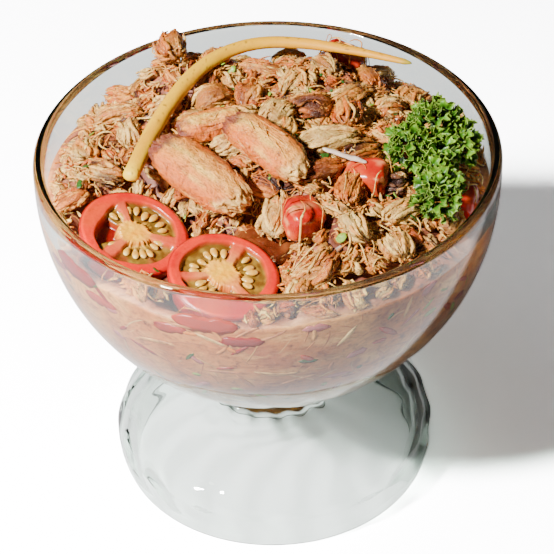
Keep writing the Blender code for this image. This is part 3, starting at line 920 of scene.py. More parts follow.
def strew_crumbs():
    """Crumbs of meat, down to a millimetre, that give the heap its broken surface."""
    rng = np.random.default_rng(23)
    crumbs = Batch()
    lines, radii = [], []
    t = np.linspace(-1, 1, 5)
    for _ in range(CRUMB_COUNT):
        reach = INNER_RADIUS * math.sqrt(rng.uniform(0, 0.94))
        where = rng.uniform(0, 2 * math.pi)
        x, y = reach * math.cos(where), reach * math.sin(where)
        heading = rng.uniform(0, 2 * math.pi)
        slope = rng.uniform(-0.5, 0.5)
        half = rng.uniform(0.5, 1.7)
        size = rng.uniform(0.14, 0.42)
        lift = rng.uniform(0.2, 1.5)
        z, _ = heap_top(x, y)
        if z is None or in_room(x, y, 0.3):
            continue
        ahead = np.array((math.cos(heading), math.sin(heading), slope))
        lines.append(np.array((x, y, z + lift)) + np.outer(t * half, ahead))
        radii.append(size * (0.2 + 0.8 * (1 - np.abs(t) ** 2.2)))
    points, faces = tubes(np.array(lines), np.array(radii), around=4)
    each = len(points) // len(lines)
    points = points + 0.34 * np.stack([grain(points, 0.8, 41 + k) for k in range(3)], axis=-1)
    tone = np.repeat(rng.normal(0.3, 0.25, len(lines)), each)
    stain = np.repeat((rng.random(len(lines)) > 0.85) * 0.8, each)
    paint = crab_paint(0.6 * grain(points, 0.8, 47), points, tone, stain, 5)
    crumbs.put(pressed(points, HEAP_CLEARANCE), faces, paint, points)
    crumbs.make("crab_crumbs", crab_material, "crab_meat")


lay_big_chunks()
strew_flakes()
flesh["pale"].make("pale_crab_flakes", crab_material, "crab_meat")
flesh["peach"].make("peach_crab_flakes", crab_material, "crab_meat")
flesh["brown"].make("brown_crab_flakes", crab_material, "crab_meat")
strew_threads()
strew_crumbs()


# ---------------------------------------------------------------- what is pressed against the glass

HERB = tint("2E5A1C")
LIGHT_HERB = tint("7FA02E")
ONION = tint("B4677A")
TOMATO_RED = tint("8E1004")
TOMATO_PINK = tint("A83420")
CARROT = tint("D9822C")

WALL_PAINTS = {
    "herb": HERB, "light_herb": LIGHT_HERB, "onion": ONION, "tomato": TOMATO_RED,
    "pink": TOMATO_PINK, "carrot": CARROT,
}


WALL_SHREDS = 760
WALL_BITS = 150


def along_wall(angle, height, length, heading, curl, steps):
    """A path on the bowl's inner wall: places and the outward direction at each."""
    tau = math.asin(max(-0.999, min(0, (height - BAND_Z) / BOWL_DEPTH_IN)))
    angle = math.radians(angle)
    heading = math.radians(heading)
    pace = length / (steps - 1)
    heading -= curl * (steps - 1) / 2
    path = []
    reach = max(INNER_RADIUS * math.cos(tau), 3)
    slope = math.hypot(INNER_RADIUS * math.sin(tau), BOWL_DEPTH_IN * math.cos(tau))
    angle -= 0.5 * length * math.cos(heading) / reach
    tau -= 0.5 * length * math.sin(heading) / slope
    for _ in range(steps):
        tau = min(max(tau, -1.5), -0.075)
        path.append((angle, tau))
        reach = max(INNER_RADIUS * math.cos(tau), 3)
        slope = math.hypot(INNER_RADIUS * math.sin(tau), BOWL_DEPTH_IN * math.cos(tau))
        angle += pace * math.cos(heading) / reach
        tau += pace * math.sin(heading) / slope
        heading += curl
    angle, tau = np.array(path).T
    places = np.stack([
        INNER_RADIUS * np.cos(tau) * np.cos(angle), INNER_RADIUS * np.cos(tau) * np.sin(angle),
        BAND_Z + BOWL_DEPTH_IN * np.sin(tau),
    ], axis=-1)
    out = np.stack([
        BOWL_DEPTH_IN * np.cos(tau) * np.cos(angle), BOWL_DEPTH_IN * np.cos(tau) * np.sin(angle),
        INNER_RADIUS * np.sin(tau),
    ], axis=-1)
    return places, out / np.linalg.norm(out, axis=-1, keepdims=True)


def wall_piece(batch, angle, height, length, heading, width, colour, seed, curl=0.0, proud=0.0, blunt=2.5):
    """A lens-shaped piece squeezed flat against the glass, its front just into the wall."""
    steps = max(6, int(length / 1.1))
    around = 6
    places, out = along_wall(angle, height, length, heading, curl, steps)
    ahead = np.gradient(places, axis=0)
    ahead /= np.linalg.norm(ahead, axis=-1, keepdims=True) + 1e-9
    across = np.cross(out, ahead)
    t = np.linspace(-1, 1, steps)
    wide = 0.5 * width * np.maximum(1 - np.abs(t) ** blunt, 0.03) ** 0.5
    wide = wide * (1 + 0.3 * grain(np.stack([t * length, 0 * t, 0 * t], axis=-1), 1.6, seed))
    a = np.linspace(0, 2 * math.pi, around, endpoint=False)[None, :, None]
    thick = 0.24 * np.minimum(1, wide / 0.4)
    points = (
        places[:, None] + (FOOD_REACH - 0.08 + proud) * out[:, None]
        + wide[:, None, None] * np.cos(a) * across[:, None]
        + thick[:, None, None] * np.sin(a) * out[:, None]
    ).reshape(-1, 3)
    rest = np.stack([np.repeat(t * length / 2, around), np.tile(0.5 * width * np.cos(a).ravel(), steps),
                     np.zeros(steps * around)], axis=-1) + 17.3 * (seed % 61)
    paint = colour * (1 + 0.2 * grain(rest, (2.5, 0.7, 0.7), seed)[:, None]) * wall_tint_and_shade(points)
    batch.put(points, tube_faces(steps, around), paint, rest)


def press_food_on_wall():
    """Shreds of crab, onion, tomato and herbs that show through the side of the bowl."""
    rng = np.random.default_rng(47)
    shreds, bits = Batch(), Batch()
    strand_paints = [tint(c) for c in ("E0B482", "DBA66E", "CF8A54", "BC7444", "C8845C", "E6C898")]
    for k in range(WALL_SHREDS):
        height = BAND_Z - 3.5 - 47 * rng.beta(1.1, 1.5)
        colour = strand_paints[rng.integers(len(strand_paints))] * rng.uniform(0.78, 1.0)
        wide = rng.uniform(0.22, 0.5) if k % 5 else rng.uniform(0.7, 1.5)
        wall_piece(
            shreds, rng.uniform(0, 360), height, rng.uniform(3.5, 11), rng.normal(0, 55), wide,
            colour, 700 + k, rng.normal(0, 0.12), rng.uniform(-0.03, 0.06),
        )
    kinds = list(WALL_PAINTS)
    for k in range(WALL_BITS):
        kind = kinds[rng.choice(len(kinds), p=(0.3, 0.12, 0.26, 0.16, 0.1, 0.06))]
        length = rng.uniform(1.2, 4.5) if "herb" in kind else rng.uniform(3, 8)
        wide = rng.uniform(0.6, 1.8) if "herb" in kind else rng.uniform(1.0, 2.6)
        wall_piece(
            bits, rng.uniform(0, 360), BAND_Z - 4 - 40 * rng.beta(1.1, 1.7), length, rng.normal(0, 45),
            wide, WALL_PAINTS[kind], 1400 + k, rng.normal(0, 0.06), 0.05,
        )
    # The skins of the tomato halves, squeezed flat where each half leans on the glass.
    for k, side in enumerate(("left", "right")):
        half = middle("tomato_half_" + side)
        angle = math.degrees(math.atan2(half.y, half.x))
        for j, (turn_by, drop, length, wide) in enumerate(((0, 5, 15, 5), (9, 9, 10, 3.4), (-9, 8, 8, 3))):
            wall_piece(
                bits, angle + turn_by, BAND_Z - drop, length, 4 * j, wide,
                TOMATO_PINK if (j + k) % 2 else TOMATO_RED, 1600 + 10 * k + j, 0.02, 0.07, 3.0,
            )
    shreds.make("crab_shreds_at_wall", mix_material, "crab_ceviche")
    bits.make("vegetable_bits_at_wall", onion_material, "crab_ceviche")


press_food_on_wall()


# ---------------------------------------------------------------- onion, herbs and juice on the heap


SLIVER_COUNT = 8
SLIVER_STEPS = 26
SLIVER_LIFT = 4.5


def lay_sticks():
    """Slivers of red onion lying on the heap, and one from a tomato dice towards a leg."""
    rng = np.random.default_rng(59)
    onion = Batch()
    dice, leg = middle("tomato_dice_2"), middle("crab_leg_2")
    for k in range(SLIVER_COUNT):
        reach = 42 * math.sqrt((k + rng.uniform(0.3, 0.9)) / SLIVER_COUNT)
        where, heading = k * GOLDEN_ANGLE + 0.8, rng.uniform(0, math.pi)
        length = rng.uniform(8, 12)
        step_by = 0.5 * length * np.array((math.cos(heading), math.sin(heading)))
        centre = reach * np.array((math.cos(where), math.sin(where)))
        if k == 0:
            knots = [dice.lerp(leg, share) + Vector((0, 0, SLIVER_LIFT)) for share in (0.45, 0.22, 0.0)]
        else:
            spots = [centre - step_by, centre + 0.15 * step_by[::-1], centre + step_by]
            tops = [heap_top(*spot)[0] for spot in spots]
            if None in tops or in_room(*centre, 0):
                continue
            knots = [(*spot, min(top, min(tops) + 2.0) + 0.8) for spot, top in zip(spots, tops)]
        line = smooth_path(knots, SLIVER_STEPS)[None]
        t = np.linspace(-1, 1, SLIVER_STEPS)
        radii = rng.uniform(0.7, 0.9) * (0.25 + 0.75 * np.sqrt(np.maximum(1 - t**4, 0)))
        points, faces = tubes(line, radii[None], around=14, flat=0.6)
        points = points + 0.16 * np.stack([grain(points, 1.5, 101 + k + j) for j in range(3)], axis=-1)
        faded = np.full(len(points), rng.uniform(0, 0.9) if k else 0.0)
        paint = mixed(tint("EACDB8"), tint("BC9A80"), faded)
        paint = mixed(paint, tint("B08078"), 0.35 * step(grain(points, (2, 2, 2), 107), 0.0, 0.7))
        onion.put(pressed(points, 0.1), faces, paint, points)
    onion.make("red_onion_slivers", onion_material, "crab_ceviche")


BIG_LEAVES = 16
LEAF_COUNT = 86


def strew_herbs():
    """Chopped parsley on the heap."""
    herbs = Batch()
    rng = np.random.default_rng(53)
    leaves = []
    for k in range(LEAF_COUNT):
        reach = 47 * math.sqrt(rng.uniform(0, 1))
        where = rng.uniform(0, 2 * math.pi)
        big = 2.0 if k < BIG_LEAVES else 1.0
        leaves.append((reach * math.cos(where), reach * math.sin(where), big * rng.uniform(0.5, 1.8),
                       big * rng.uniform(0.4, 1.0), rng.uniform(0.8, 2.2)))
    for k, (x, y, length, width, lift) in enumerate(leaves):
        z, normal = heap_top(x, y)
        if z is None or in_room(x, y, -1):
            continue
        turns = np.linspace(0, 2 * math.pi, 10, endpoint=False)
        t, s = [v.ravel() for v in np.meshgrid(np.linspace(-1, 1, 9), turns, indexing="ij")]
        body = np.sqrt(np.maximum(1 - t**2, 0.01))
        local = np.stack([0.5 * length * t, 0.5 * width * body * np.cos(s),
                          0.12 * body * np.sin(s) + 0.12 * length * np.sin(2.2 * t)], axis=-1)
        local[:, :2] += 0.16 * width * np.stack([grain(local, 0.7, k + 5), grain(local, 0.7, k + 6)], axis=-1)
        points = turn(local, laid(normal, rng.uniform(0, 6.3), rng.normal(0, 0.3)), (x, y, z + lift))
        light = rng.random() < 0.35 or k < 3
        colour = LIGHT_HERB if light else HERB
        paint = np.repeat(colour[None], len(points), axis=0) * (1 + 0.2 * grain(points, 0.8, k)[:, None])
        herbs.put(pressed(points, 0.1), tube_faces(9, 10), paint, local + k)
    herbs.make("chopped_herbs", parsley_material, "parsley")


def pour_juice():
    """The pool of juice beside the tomato halves, with low ripples round what stands in it."""
    rings, spokes = 22, 90
    turns = np.linspace(0, 2 * math.pi, spokes, endpoint=False)
    t, a = [v.ravel() for v in np.meshgrid(np.linspace(0.02, 1, rings), turns, indexing="ij")]
    reach = t * 7.0 * (1 + 0.1 * np.sin(3 * a + 1))
    flat = np.stack([-1.6 + reach * np.cos(a), -25.6 + reach * np.sin(a), 0 * a], axis=-1)
    for x, y, room in CLEAR_ROOMS[:2]:
        away = flat[:, :2] - np.array((x, y))
        gap = np.linalg.norm(away, axis=1, keepdims=True)
        flat[:, :2] = np.where(gap < room - 0.4, np.array((x, y)) + away / gap * (room - 0.4), flat[:, :2])
    z = 86.2 + 0.4 * grain(flat, 2.2, 111) + 0.14 * np.sin(reach * 2.4) - 0.4 * t**6
    top = np.stack([flat[:, 0], flat[:, 1], z], axis=-1)
    low = top[(rings - 1) * spokes :] - np.array((0, 0, 3.0))
    points = np.concatenate([top, low])
    caps = np.stack([np.arange(spokes)[::-1], np.arange(spokes) + rings * spokes])
    paint = mixed(tint("5A2410"), tint("84441F"), step(grain(points, 3.0, 112), -0.4, 0.6))
    pool = Batch()
    pool.put(points, [grid_faces(rings + 1, spokes), caps], paint, points)
    pool.make("pool_of_juice", juice_material, "crab_ceviche")


# ---------------------------------------------------------------- whole leg meat

# name: size, place, turns, as the CAD has them
LEG_MEAT = {
    "crab_leg_1": ((26.0, 11.5, 9.0), (-15.3, -14.0, 96.6), (("Y", 10), ("Z", -43))),
    "crab_leg_2": ((23.5, 10.0, 8.0), (0.0, -8.6, 100.2), (("Y", 8), ("Z", -46))),
    "crab_leg_3": ((15.0, 7.5, 6.0), (-13.0, 2.0, 99.0), (("Y", -4), ("Z", 12))),
}


def leg_paint(length, width):
    """A whole leg's colours: cream along its middle, a red-orange ridge, a dark shell end."""

    def colours(paint, rest, relief):
        u = 2 * rest[:, 0] / length
        v = 2 * rest[:, 1] / width
        colour = mixed(tint("EFA03C"), tint("D86A14"), step(np.abs(v + 0.1), 0.1, 0.9))
        streak = grain(rest, (9, 1.3, 1.3), 61)
        colour = mixed(colour, tint("F6C458"), 0.8 * step(streak - 0.5 * np.abs(v + 0.1), 0.0, 0.5))
        ridge = step(v + 0.25 * streak, 0.45, 0.85)
        colour = mixed(colour, RED_ORANGE, 0.85 * ridge)
        colour = mixed(colour, tint("6A2226"), 0.9 * step(-u + 0.2 * streak, 0.62, 0.92))
        colour = mixed(colour, tint("F2C474"), 0.6 * step(u + 0.2 * streak, 0.7, 0.95))
        # Painted shade: where relief is low, in the hollows, the leg meat is darkened and browned.
        return mixed(colour, colour * np.array([0.66, 0.46, 0.34]), step(-relief, 0.1, 0.9))

    return colours


def make_leg_meat():
    for i, (name, (size, place, turns)) in enumerate(LEG_MEAT.items()):
        points, faces, paint, rest = crab_chunk(
            (size[0] * 1.04, size[1] * 1.08, size[2]), 410 + 7 * i, along=92, around=64,
            bundle=0.9, fray=0.1, bend=0.02, blunt=3.0, hairs=16, bits=70, thick=0.13, lumpy=0.1,
            crumble=0.55,
            paint_as=leg_paint(size[0], size[1]),
        )
        batch = Batch()
        batch.put(turn(points, set_turns(turns), place), faces, paint, rest)
        leg = batch.make("whole_" + name.replace("crab_leg", "leg_meat"), crab_material, "crab_meat")
        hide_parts(name)


make_leg_meat()


# ---------------------------------------------------------------- tomato halves and dice

TOMATO_RADIUS = 12.6
TOMATO_OVAL = 0.03
TOMATO_DEPTH = 11.5
FACE_RINGS = 62
FACE_SPOKES = 160

# Each half: place and turns as the CAD has them, where the first of its three walls points, the
# middle and half spread of its empty hollow, and how warm the flesh is. Angles in degrees.
TOMATO_HALVES = {
    "left": dict(place=(-30.9, -21.5, 86.2), turns=(("Z", -37), ("X", 9), ("Y", 12)),
                 first_wall=30, hollow=(-145, 30), stretch=1.15, warm=0.35),
    "right": dict(place=(-10.5, -36.1, 85.3), turns=(("Z", -37), ("X", 8), ("Y", 7)),
                  first_wall=-15, hollow=(-50, 15), stretch=1.35, warm=0.8),
}
WALL_ANGLES = (0, 120, 240)
SEED_SPACING = 17
SEED_REACH = 6.2
SPILLED_SEEDS = 5
tomato_seeds = Batch()


def turned_gap(angle, centre):
    """The angle between two directions, in degrees, from -180 to 180."""
    return (angle - centre + 180) % 360 - 180


def make_tomato(name, half):
    """A cut tomato half: skin, ring of flesh, core, septa, gel round the seeds and one hollow."""
    ring_t = np.linspace(0.012, 1, FACE_RINGS)
    spokes = np.linspace(-math.pi, math.pi, FACE_SPOKES, endpoint=False)
    t, a = [v.ravel() for v in np.meshgrid(ring_t, spokes, indexing="ij")]
    angle = np.degrees(a)
    edge = TOMATO_RADIUS * (1 + TOMATO_OVAL * np.cos(2 * a))
    r = t * edge
    flat = np.stack([r * np.cos(a), r * np.sin(a), 0 * r], axis=-1)
    rough = grain(flat, 1.1, 71)
    broad = np.exp(-((turned_gap(angle, half["hollow"][0] - 20) / 38) ** 2))
    inner = 9.7 + 0.35 * grain(flat, 3.0, 72) - 1.6 * broad
    stretch, towards = half["stretch"], half["first_wall"]
    rng = np.random.default_rng(len(name))
    core_edge = 3.3 * (1 + (stretch - 1) * np.cos(np.radians(angle - towards)) ** 2)
    core_edge = core_edge + 0.5 * grain(np.stack([a * 5, 0 * a, 0 * a], axis=-1), 0.35, 73)
    core = 1 - step(r, core_edge - 0.35, core_edge + 0.5)
    wall = np.zeros(len(r))
    walls = [half["first_wall"] + extra for extra in WALL_ANGLES]
    for centre in walls:
        half_width = rng.uniform(0.7, 1.6)
        gap = np.radians(turned_gap(angle, centre))
        off = np.where(np.abs(gap) < math.pi / 2, r * np.abs(np.sin(gap)), 99)
        wide = half_width * (0.7 + 0.5 * step(r, 3, 10)) + 0.25 * rough
        wall = np.maximum(wall, 1 - step(off, 0.6 * wide, wide + 0.45))
    ring = step(r, inner - 0.35, inner + 0.35)
    room = (1 - core) * (1 - wall) * (1 - ring)
    empty, spread = half["hollow"]
    inside = 1 - step(np.abs(turned_gap(angle, empty)), spread - 5, spread + 3)
    hollow = room * inside
    gel = room - hollow
    z = -1.0 * gel * (1 - 0.25 * rough) - 2.9 * hollow + 0.12 * core * grain(flat, 0.9, 74)
    z = z - 0.5 * step(r, edge - 0.9, edge) + 0.18 * ring + 0.05 * grain(flat, 0.7, 75) * (1 - gel)
    flesh_red = mixed(tint("CC1408"), tint("DC2A0C"), step(grain(flat, 2.5, 76), -0.5, 0.5))
    colour = mixed(flesh_red, tint("DC4A16"), 0.75 * step(broad + 0.25 * grain(flat, 3, 77), 0.35, 0.95))
    colour = mixed(colour, tint("C63A22"), 0.5 * (1 - step(np.abs(r - inner - 0.6), 0.2, 0.9)))
    colour = mixed(colour, tint("CC5230"), 0.8 * wall * (1 - ring))
    colour = mixed(colour, tint("DE8A48"), half["warm"] * wall * (1 - ring) * step(r, 9, 4))
    gel_colour = mixed(tint("6B4A14"), tint("8A6A22"), step(grain(flat, 1.3, 78), -0.3, 0.6))
    gel_colour = mixed(gel_colour, tint("7C2E12"), 0.7 * step(grain(flat, 2.2, 79), 0.0, 0.7))
    streak = grain(np.stack([a * 9, 0.3 * r, 0 * a], axis=-1), 0.5, 80)
    near = 1 - step(r, core_edge, core_edge + 2.2)
    gel_colour = mixed(gel_colour, tint("E0A638"), near * step(streak, -0.15, 0.4))
    colour = mixed(colour, gel_colour, gel)
    colour = mixed(colour, tint("7A0A06"), hollow)
    core_colour = mixed(tint("F2A400"), tint("F2B020"), step(grain(flat, 1.4, 81), -0.3, 0.6))
    core_colour = mixed(core_colour, tint("EEAA30"), step(r, 2.0, 3.6))
    ahead = flat @ np.array([math.cos(math.radians(towards)), math.sin(math.radians(towards)), 0])
    core_colour = mixed(core_colour, tint("DE7A3C"), half["warm"] * step(ahead, 0.5, 4.0))
    colour = mixed(colour, core_colour, core)
    colour = mixed(colour, tint("9A0E08"), step(r, edge - 0.6, edge - 0.1))
    face = np.stack([flat[:, 0], flat[:, 1], z], axis=-1)
    rows = [face]
    paints = [colour]
    lower = np.linspace(0, math.pi / 2, 22)[1:-1]
    for turn_down in lower:
        k = math.cos(turn_down) ** 0.9
        rim_x = TOMATO_RADIUS * (1 + TOMATO_OVAL * np.cos(2 * spokes)) * k
        down = 0 * spokes - 0.5 - (TOMATO_DEPTH - 0.5) * math.sin(turn_down)
        row = np.stack([rim_x * np.cos(spokes), rim_x * np.sin(spokes), down], axis=-1)
        rows.append(row)
        paints.append(np.repeat(tint("9E1009")[None, :], FACE_SPOKES, axis=0))
    points = np.concatenate(rows)
    paint = np.concatenate(paints)
    count = FACE_RINGS + len(lower)
    caps = np.stack([np.arange(FACE_SPOKES)[::-1], np.arange(FACE_SPOKES) + (count - 1) * FACE_SPOKES])
    rotation = set_turns(half["turns"])
    placed = pressed(turn(points, rotation, half["place"]), 0.15)
    faces = [grid_faces(count, FACE_SPOKES), caps]
    piece = make_mesh("tomato_" + name + "_cut_face", placed, faces, tomato_material, paint, points)
    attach(piece, "root")
    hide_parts("tomato_half_" + name)
    for k in range(360 // SEED_SPACING):
        where = half["first_wall"] + SEED_SPACING * (k + 0.5) + rng.uniform(-3, 3)
        reach = SEED_REACH + rng.uniform(-0.7, 0.9)
        near_wall = min(abs(turned_gap(where, wall_angle)) for wall_angle in walls) < 9
        if near_wall or abs(turned_gap(where, empty)) < spread + 5:
            continue
        spot = math.radians(where)
        place = (reach * math.cos(spot), reach * math.sin(spot), -0.55)
        add_seed(rotation, half["place"], place, spot + math.pi, k + len(name))


def add_seed(rotation, origin, place, heading, seed, tilt=0.0):
    """One tomato seed, a flat drop whose tip points along heading."""
    along, around = 11, 12
    t = np.linspace(-1, 1, along)
    turns = np.linspace(0, 2 * math.pi, around, endpoint=False)
    t, a = [v.ravel() for v in np.meshgrid(t, turns, indexing="ij")]
    body = np.sqrt(np.maximum(1 - t**2, 0.0004)) * (1 - 0.35 * step(t, -0.2, 1))
    size = 1 + 0.12 * math.sin(seed * 7.3)
    local = np.stack([1.35 * size * t, 0.8 * size * body * np.cos(a), 0.5 * body * np.sin(a)], axis=-1)
    colour = mixed(tint("D89E30"), tint("E8C670"), step(np.abs(t), 0.2, 0.9))
    colour = mixed(colour, tint("B07A22"), 0.5 * step(grain(local, 0.6, seed), 0.1, 0.7))
    spin = Matrix.Rotation(heading, 3, "Z") @ Matrix.Rotation(tilt, 3, "Y")
    points = turn(turn(local, spin, place), rotation, origin)
    tomato_seeds.put(points, tube_faces(along, around), colour, local + seed)


for tomato_name, tomato_half in TOMATO_HALVES.items():
    make_tomato(tomato_name, tomato_half)


def spill_seeds():
    """A few seeds on the heap behind the gap between the two halves."""
    rng = np.random.default_rng(61)
    gap = (middle("tomato_half_left") + middle("tomato_half_right")) / 2
    for k in range(SPILLED_SEEDS):
        x, y = gap.x + rng.uniform(-4, 4), gap.y + rng.uniform(2, 8)
        z, _ = heap_top(x, y)
        if z is not None:
            add_seed(Matrix.Identity(3), (x, y, z + 0.5), (0, 0, 0), rng.uniform(0, 3), 30 + k, 0.3)


spill_seeds()
tomato_seeds.make("tomato_seeds", tomato_material, "tomato")

TOMATO_DICE = {
    "tomato_dice_1": ((9.5, 9.0, 8.0), (7.5, -25.8, 92.4), (("X", 14), ("Y", 12), ("Z", 28))),
    "tomato_dice_2": ((11.0, 8.5, 8.0), (22.6, -12.5, 93.2), (("X", 10), ("Y", -8), ("Z", -20))),
    "tomato_dice_3": ((12.0, 9.0, 8.0), (19.3, 37.5, 91.5), (("X", -6), ("Y", 10), ("Z", -15))),
    "tomato_dice_4": ((5.0, 8.5, 8.0), (45.8, -14.0, 85.8), (("X", 6), ("Z", -17))),
}


def dice_paint(seed):
    def colours(paint, rest, relief):
        colour = mixed(tint("B01808"), tint("C8481C"), step(grain(rest, 3.5, seed), -0.2, 0.6))
        colour = mixed(colour, tint("E0905A"), 0.75 * step(grain(rest, (5, 1.1, 1.1), seed + 1), 0.25, 0.6))
        skin = step(rest[:, 1], 2.2, 3.4)
        return mixed(colour, tint("A40F08"), skin)

    return colours


def make_dice():
    for i, (name, (size, place, turns)) in enumerate(TOMATO_DICE.items()):
        points, faces, paint, rest = crab_chunk(
            size, 510 + 9 * i, along=44, around=56, bundle=2.2, fray=0.05, bend=0.02, blunt=6.0,
            corner=0.5, hairs=0, lumpy=0.08, crumble=0.5, paint_as=dice_paint(530 + i),
        )
        batch = Batch()
        batch.put(turn(points * 0.96, set_turns(turns), place), faces, paint, rest)
        piece = batch.make("cut_" + name, tomato_material, "tomato")
        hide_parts(name)


make_dice()


# ---------------------------------------------------------------- pepper strip

STRIP_START = (-32.0, -12.0, 94.0)
STRIP_TIP = (35.0, 22.0, 101.0)
STRIP_RISE = (16.0, 49.0, 10.0)
STRIP_REACH = (-38.0, 16.0, 1.0)
STRIP_WIDTH = 4.0
STRIP_TAPER = 0.62


def smooth_path(knots, count):
    """Evenly spaced points on a smooth curve through the knots."""
    knots = np.array(knots, float)
    padded = np.concatenate([[2 * knots[0] - knots[1]], knots, [2 * knots[-1] - knots[-2]]])
    dense = []
    for i in range(1, len(padded) - 2):
        a, b, c, d = padded[i - 1 : i + 3]
        for t in np.linspace(0, 1, 24, endpoint=False):
            dense.append(0.5 * (2 * b + (c - a) * t + (2 * a - 5 * b + 4 * c - d) * t**2
                                + (3 * b - a - 3 * c + d) * t**3))
    dense = np.array(dense + [knots[-1]])
    travelled = np.concatenate([[0], np.cumsum(np.linalg.norm(np.diff(dense, axis=0), axis=1))])
    spots = np.linspace(0, travelled[-1], count)
    return np.stack([np.interp(spots, travelled, dense[:, k]) for k in range(3)], axis=-1)


def make_strip():
    count, around = 190, 26
    start, tip = Vector(STRIP_START), Vector(STRIP_TIP)
    curve = interpolate_bezier(start, start + Vector(STRIP_RISE), tip + Vector(STRIP_REACH), tip, 60)
    line = smooth_path(curve, count)[None]
    t = np.linspace(0, 1, count)
    ends = np.sqrt(np.clip(t / 0.012, 0.02, 1)) * np.sqrt(np.clip((1 - t) / 0.02, 0.02, 1))
    radii = 0.5 * STRIP_WIDTH * (1 - STRIP_TAPER * t**3) * ends
    points, faces = tubes(line, radii[None], around=around, flat=0.8)
    u = np.repeat(t, around)
    a = np.tile(np.linspace(0, 2 * math.pi, around, endpoint=False), count)
    rest = np.stack([u * 95, 1.6 * np.cos(a), 1.6 * np.sin(a)], axis=-1)
    centre = np.repeat(line[0], around, axis=0)
    swell = 1 + 0.05 * grain(rest, (7, 1.5, 1.5), 91) + 0.03 * grain(rest, (2, 0.7, 0.7), 92)
    points = centre + (points - centre) * swell[:, None]
    colour = mixed(tint("DCA400"), tint("D09200"), step(grain(rest, (16, 2.2, 2.2), 93), -0.3, 0.7))
    colour = mixed(colour, tint("E6B400"), 0.6 * step(grain(rest, (8, 1.0, 1.0), 94), 0.2, 0.7))
    colour = mixed(colour, tint("F8CC20"), step(u, 0.06, 0.0))
    colour = mixed(colour, tint("E08C00"), 0.5 * step(u, 0.45, 0.8))
    colour = mixed(colour, tint("8F9A2C"), 0.7 * step(u, 0.95, 1.0))
    colour = mixed(colour, tint("6E4410"), 0.8 * step(grain(rest, 0.45, 95), 0.72, 0.85))
    batch = Batch()
    batch.put(points, faces, colour, rest)
    strip = batch.make("yellow_pepper_strip", pepper_material, "yellow_pepper")
    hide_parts("pepper_strip")


make_strip()
lay_sticks()
strew_herbs()
pour_juice()


# ---------------------------------------------------------------- parsley

# The lobes of the sprig as the CAD has them, x, y, z and radius, and how many leaflets each has.
PARSLEY_LOBES = (
    (33.0, -6.5, 96.5, 7.0, 80), (39.0, -0.5, 98.5, 7.6, 100), (44.5, -5.0, 96.5, 5.8, 56),
    (38.5, -9.5, 96.0, 6.4, 56), (38.5, -21.0, 94.0, 7.4, 84), (38.5, -15.0, 94.5, 5.6, 30),
)
PARSLEY_BASE = (36.5, -11.5, 90.5)


def leaflet(size, seed):
    """One curled leaflet, a thin closed blade with toothed lobes, its base at the origin along x."""
    rng = np.random.default_rng(seed)
    rows, columns = 5, 12
    t, s = np.meshgrid(np.linspace(0.04, 1, rows), np.linspace(-1, 1, columns), indexing="ij")
    t, s = t.ravel(), s.ravel()
    fan = s * rng.uniform(0.75, 1.1)
    teeth = 1 - 0.34 * np.abs(np.sin(s * math.pi * 2.5 + rng.uniform(-0.2, 0.2))) * step(t, 0.4, 1)
    reach = size * t * teeth * (1 - 0.25 * s**2)
    x = reach * np.cos(fan)
    y = reach * np.sin(fan)
    curl = rng.uniform(0.25, 0.6)
    wave = 0.2 * size * np.sin(s * 6.5 + rng.uniform(0, 6)) * t**1.5
    z = wave + curl * size * (0.5 * t - 0.7 * t**2.4) + 0.1 * size * np.abs(s) * t
    top = np.stack([x, y, z + 0.1], axis=-1)
    low = np.stack([x, y, z - 0.08], axis=-1)
    upper = grid_faces(rows, columns, closed=False)
    total = rows * columns
    rim = np.concatenate([
        np.arange(columns), np.arange(1, rows) * columns + columns - 1,
        total - 2 - np.arange(columns - 1), np.arange(rows - 2, 0, -1) * columns,
    ])
    after = np.roll(rim, -1)
    sides = np.stack([rim, rim + total, after + total, after], axis=-1)
    faces = [np.concatenate([upper[:, ::-1], upper + total, sides])]
    return np.concatenate([top, low]), faces, np.tile(t, 2), np.tile(s, 2)


def make_parsley():
    batch = Batch()
    rng = np.random.default_rng(31)
    seed = 3000
    for x, y, z, radius, count in PARSLEY_LOBES:
        for k in range(count):
            seed += 1
            up = 1 - 1.45 * (k + 0.5) / count
            turn_at = k * GOLDEN_ANGLE + rng.uniform(-0.3, 0.3)
            flat = math.sqrt(max(0, 1 - up * up))
            out = Vector((flat * math.cos(turn_at), flat * math.sin(turn_at), up))
            deep = rng.uniform(0.35, 0.72)
            size = rng.uniform(2.5, 4.0)
            points, faces, t, s = leaflet(size, seed)
            ahead = (out + 0.45 * Vector(rng.normal(0, 1, 3))).normalized()
            side = ahead.cross(Vector(rng.normal(0, 1, 3))).normalized()
            rotation = Matrix((ahead, side, ahead.cross(side))).transposed()
            base = Vector((x, y, z)) + out * (radius * deep)
            points = turn(points, rotation, base)
            depth = np.linalg.norm(points - np.array((x, y, z)), axis=1) / radius
            # Painted shade and light: leaflets deep inside a lobe are darker green, those on its outside
            # lighter, as light falls on the clump. The leaflet tips are lighter green.
            colour = mixed(tint("1C3A06"), tint("37690C"), step(depth, 0.4, 0.85))
            colour = mixed(colour, tint("74A31E"), 0.8 * step(depth + 0.2 * t, 0.8, 1.25))
            colour = mixed(colour, tint("A9C44C"), 0.45 * step(t, 0.86, 1.0))
            shade = 1 + 0.25 * math.sin(seed * 12.9)
            batch.put(pressed(points, 1.0), faces, colour * shade, points)
    base = np.array(PARSLEY_BASE)
    lines = []
    for x, y, z, radius, _ in PARSLEY_LOBES:
        tip = np.array((x, y, z + 0.2 * radius))
        bow = 0.5 * (base + tip) + np.array((0.6, -0.4, -0.8))
        lines.append(smooth_path((base, bow, tip), 12))
    points, faces = tubes(np.array(lines), np.full((len(lines), 12), 0.55), around=8)
    batch.put(points, faces, np.repeat(tint("6E9E3E")[None], len(points), axis=0), points)
    parsley = batch.make("curly_parsley_sprig", parsley_material, "parsley")
    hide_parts("parsley_sprig")


make_parsley()


# ---------------------------------------------------------------- stage, lamps and camera

FLOOR_HALF = 900
PAPER_GAIN = 5.6


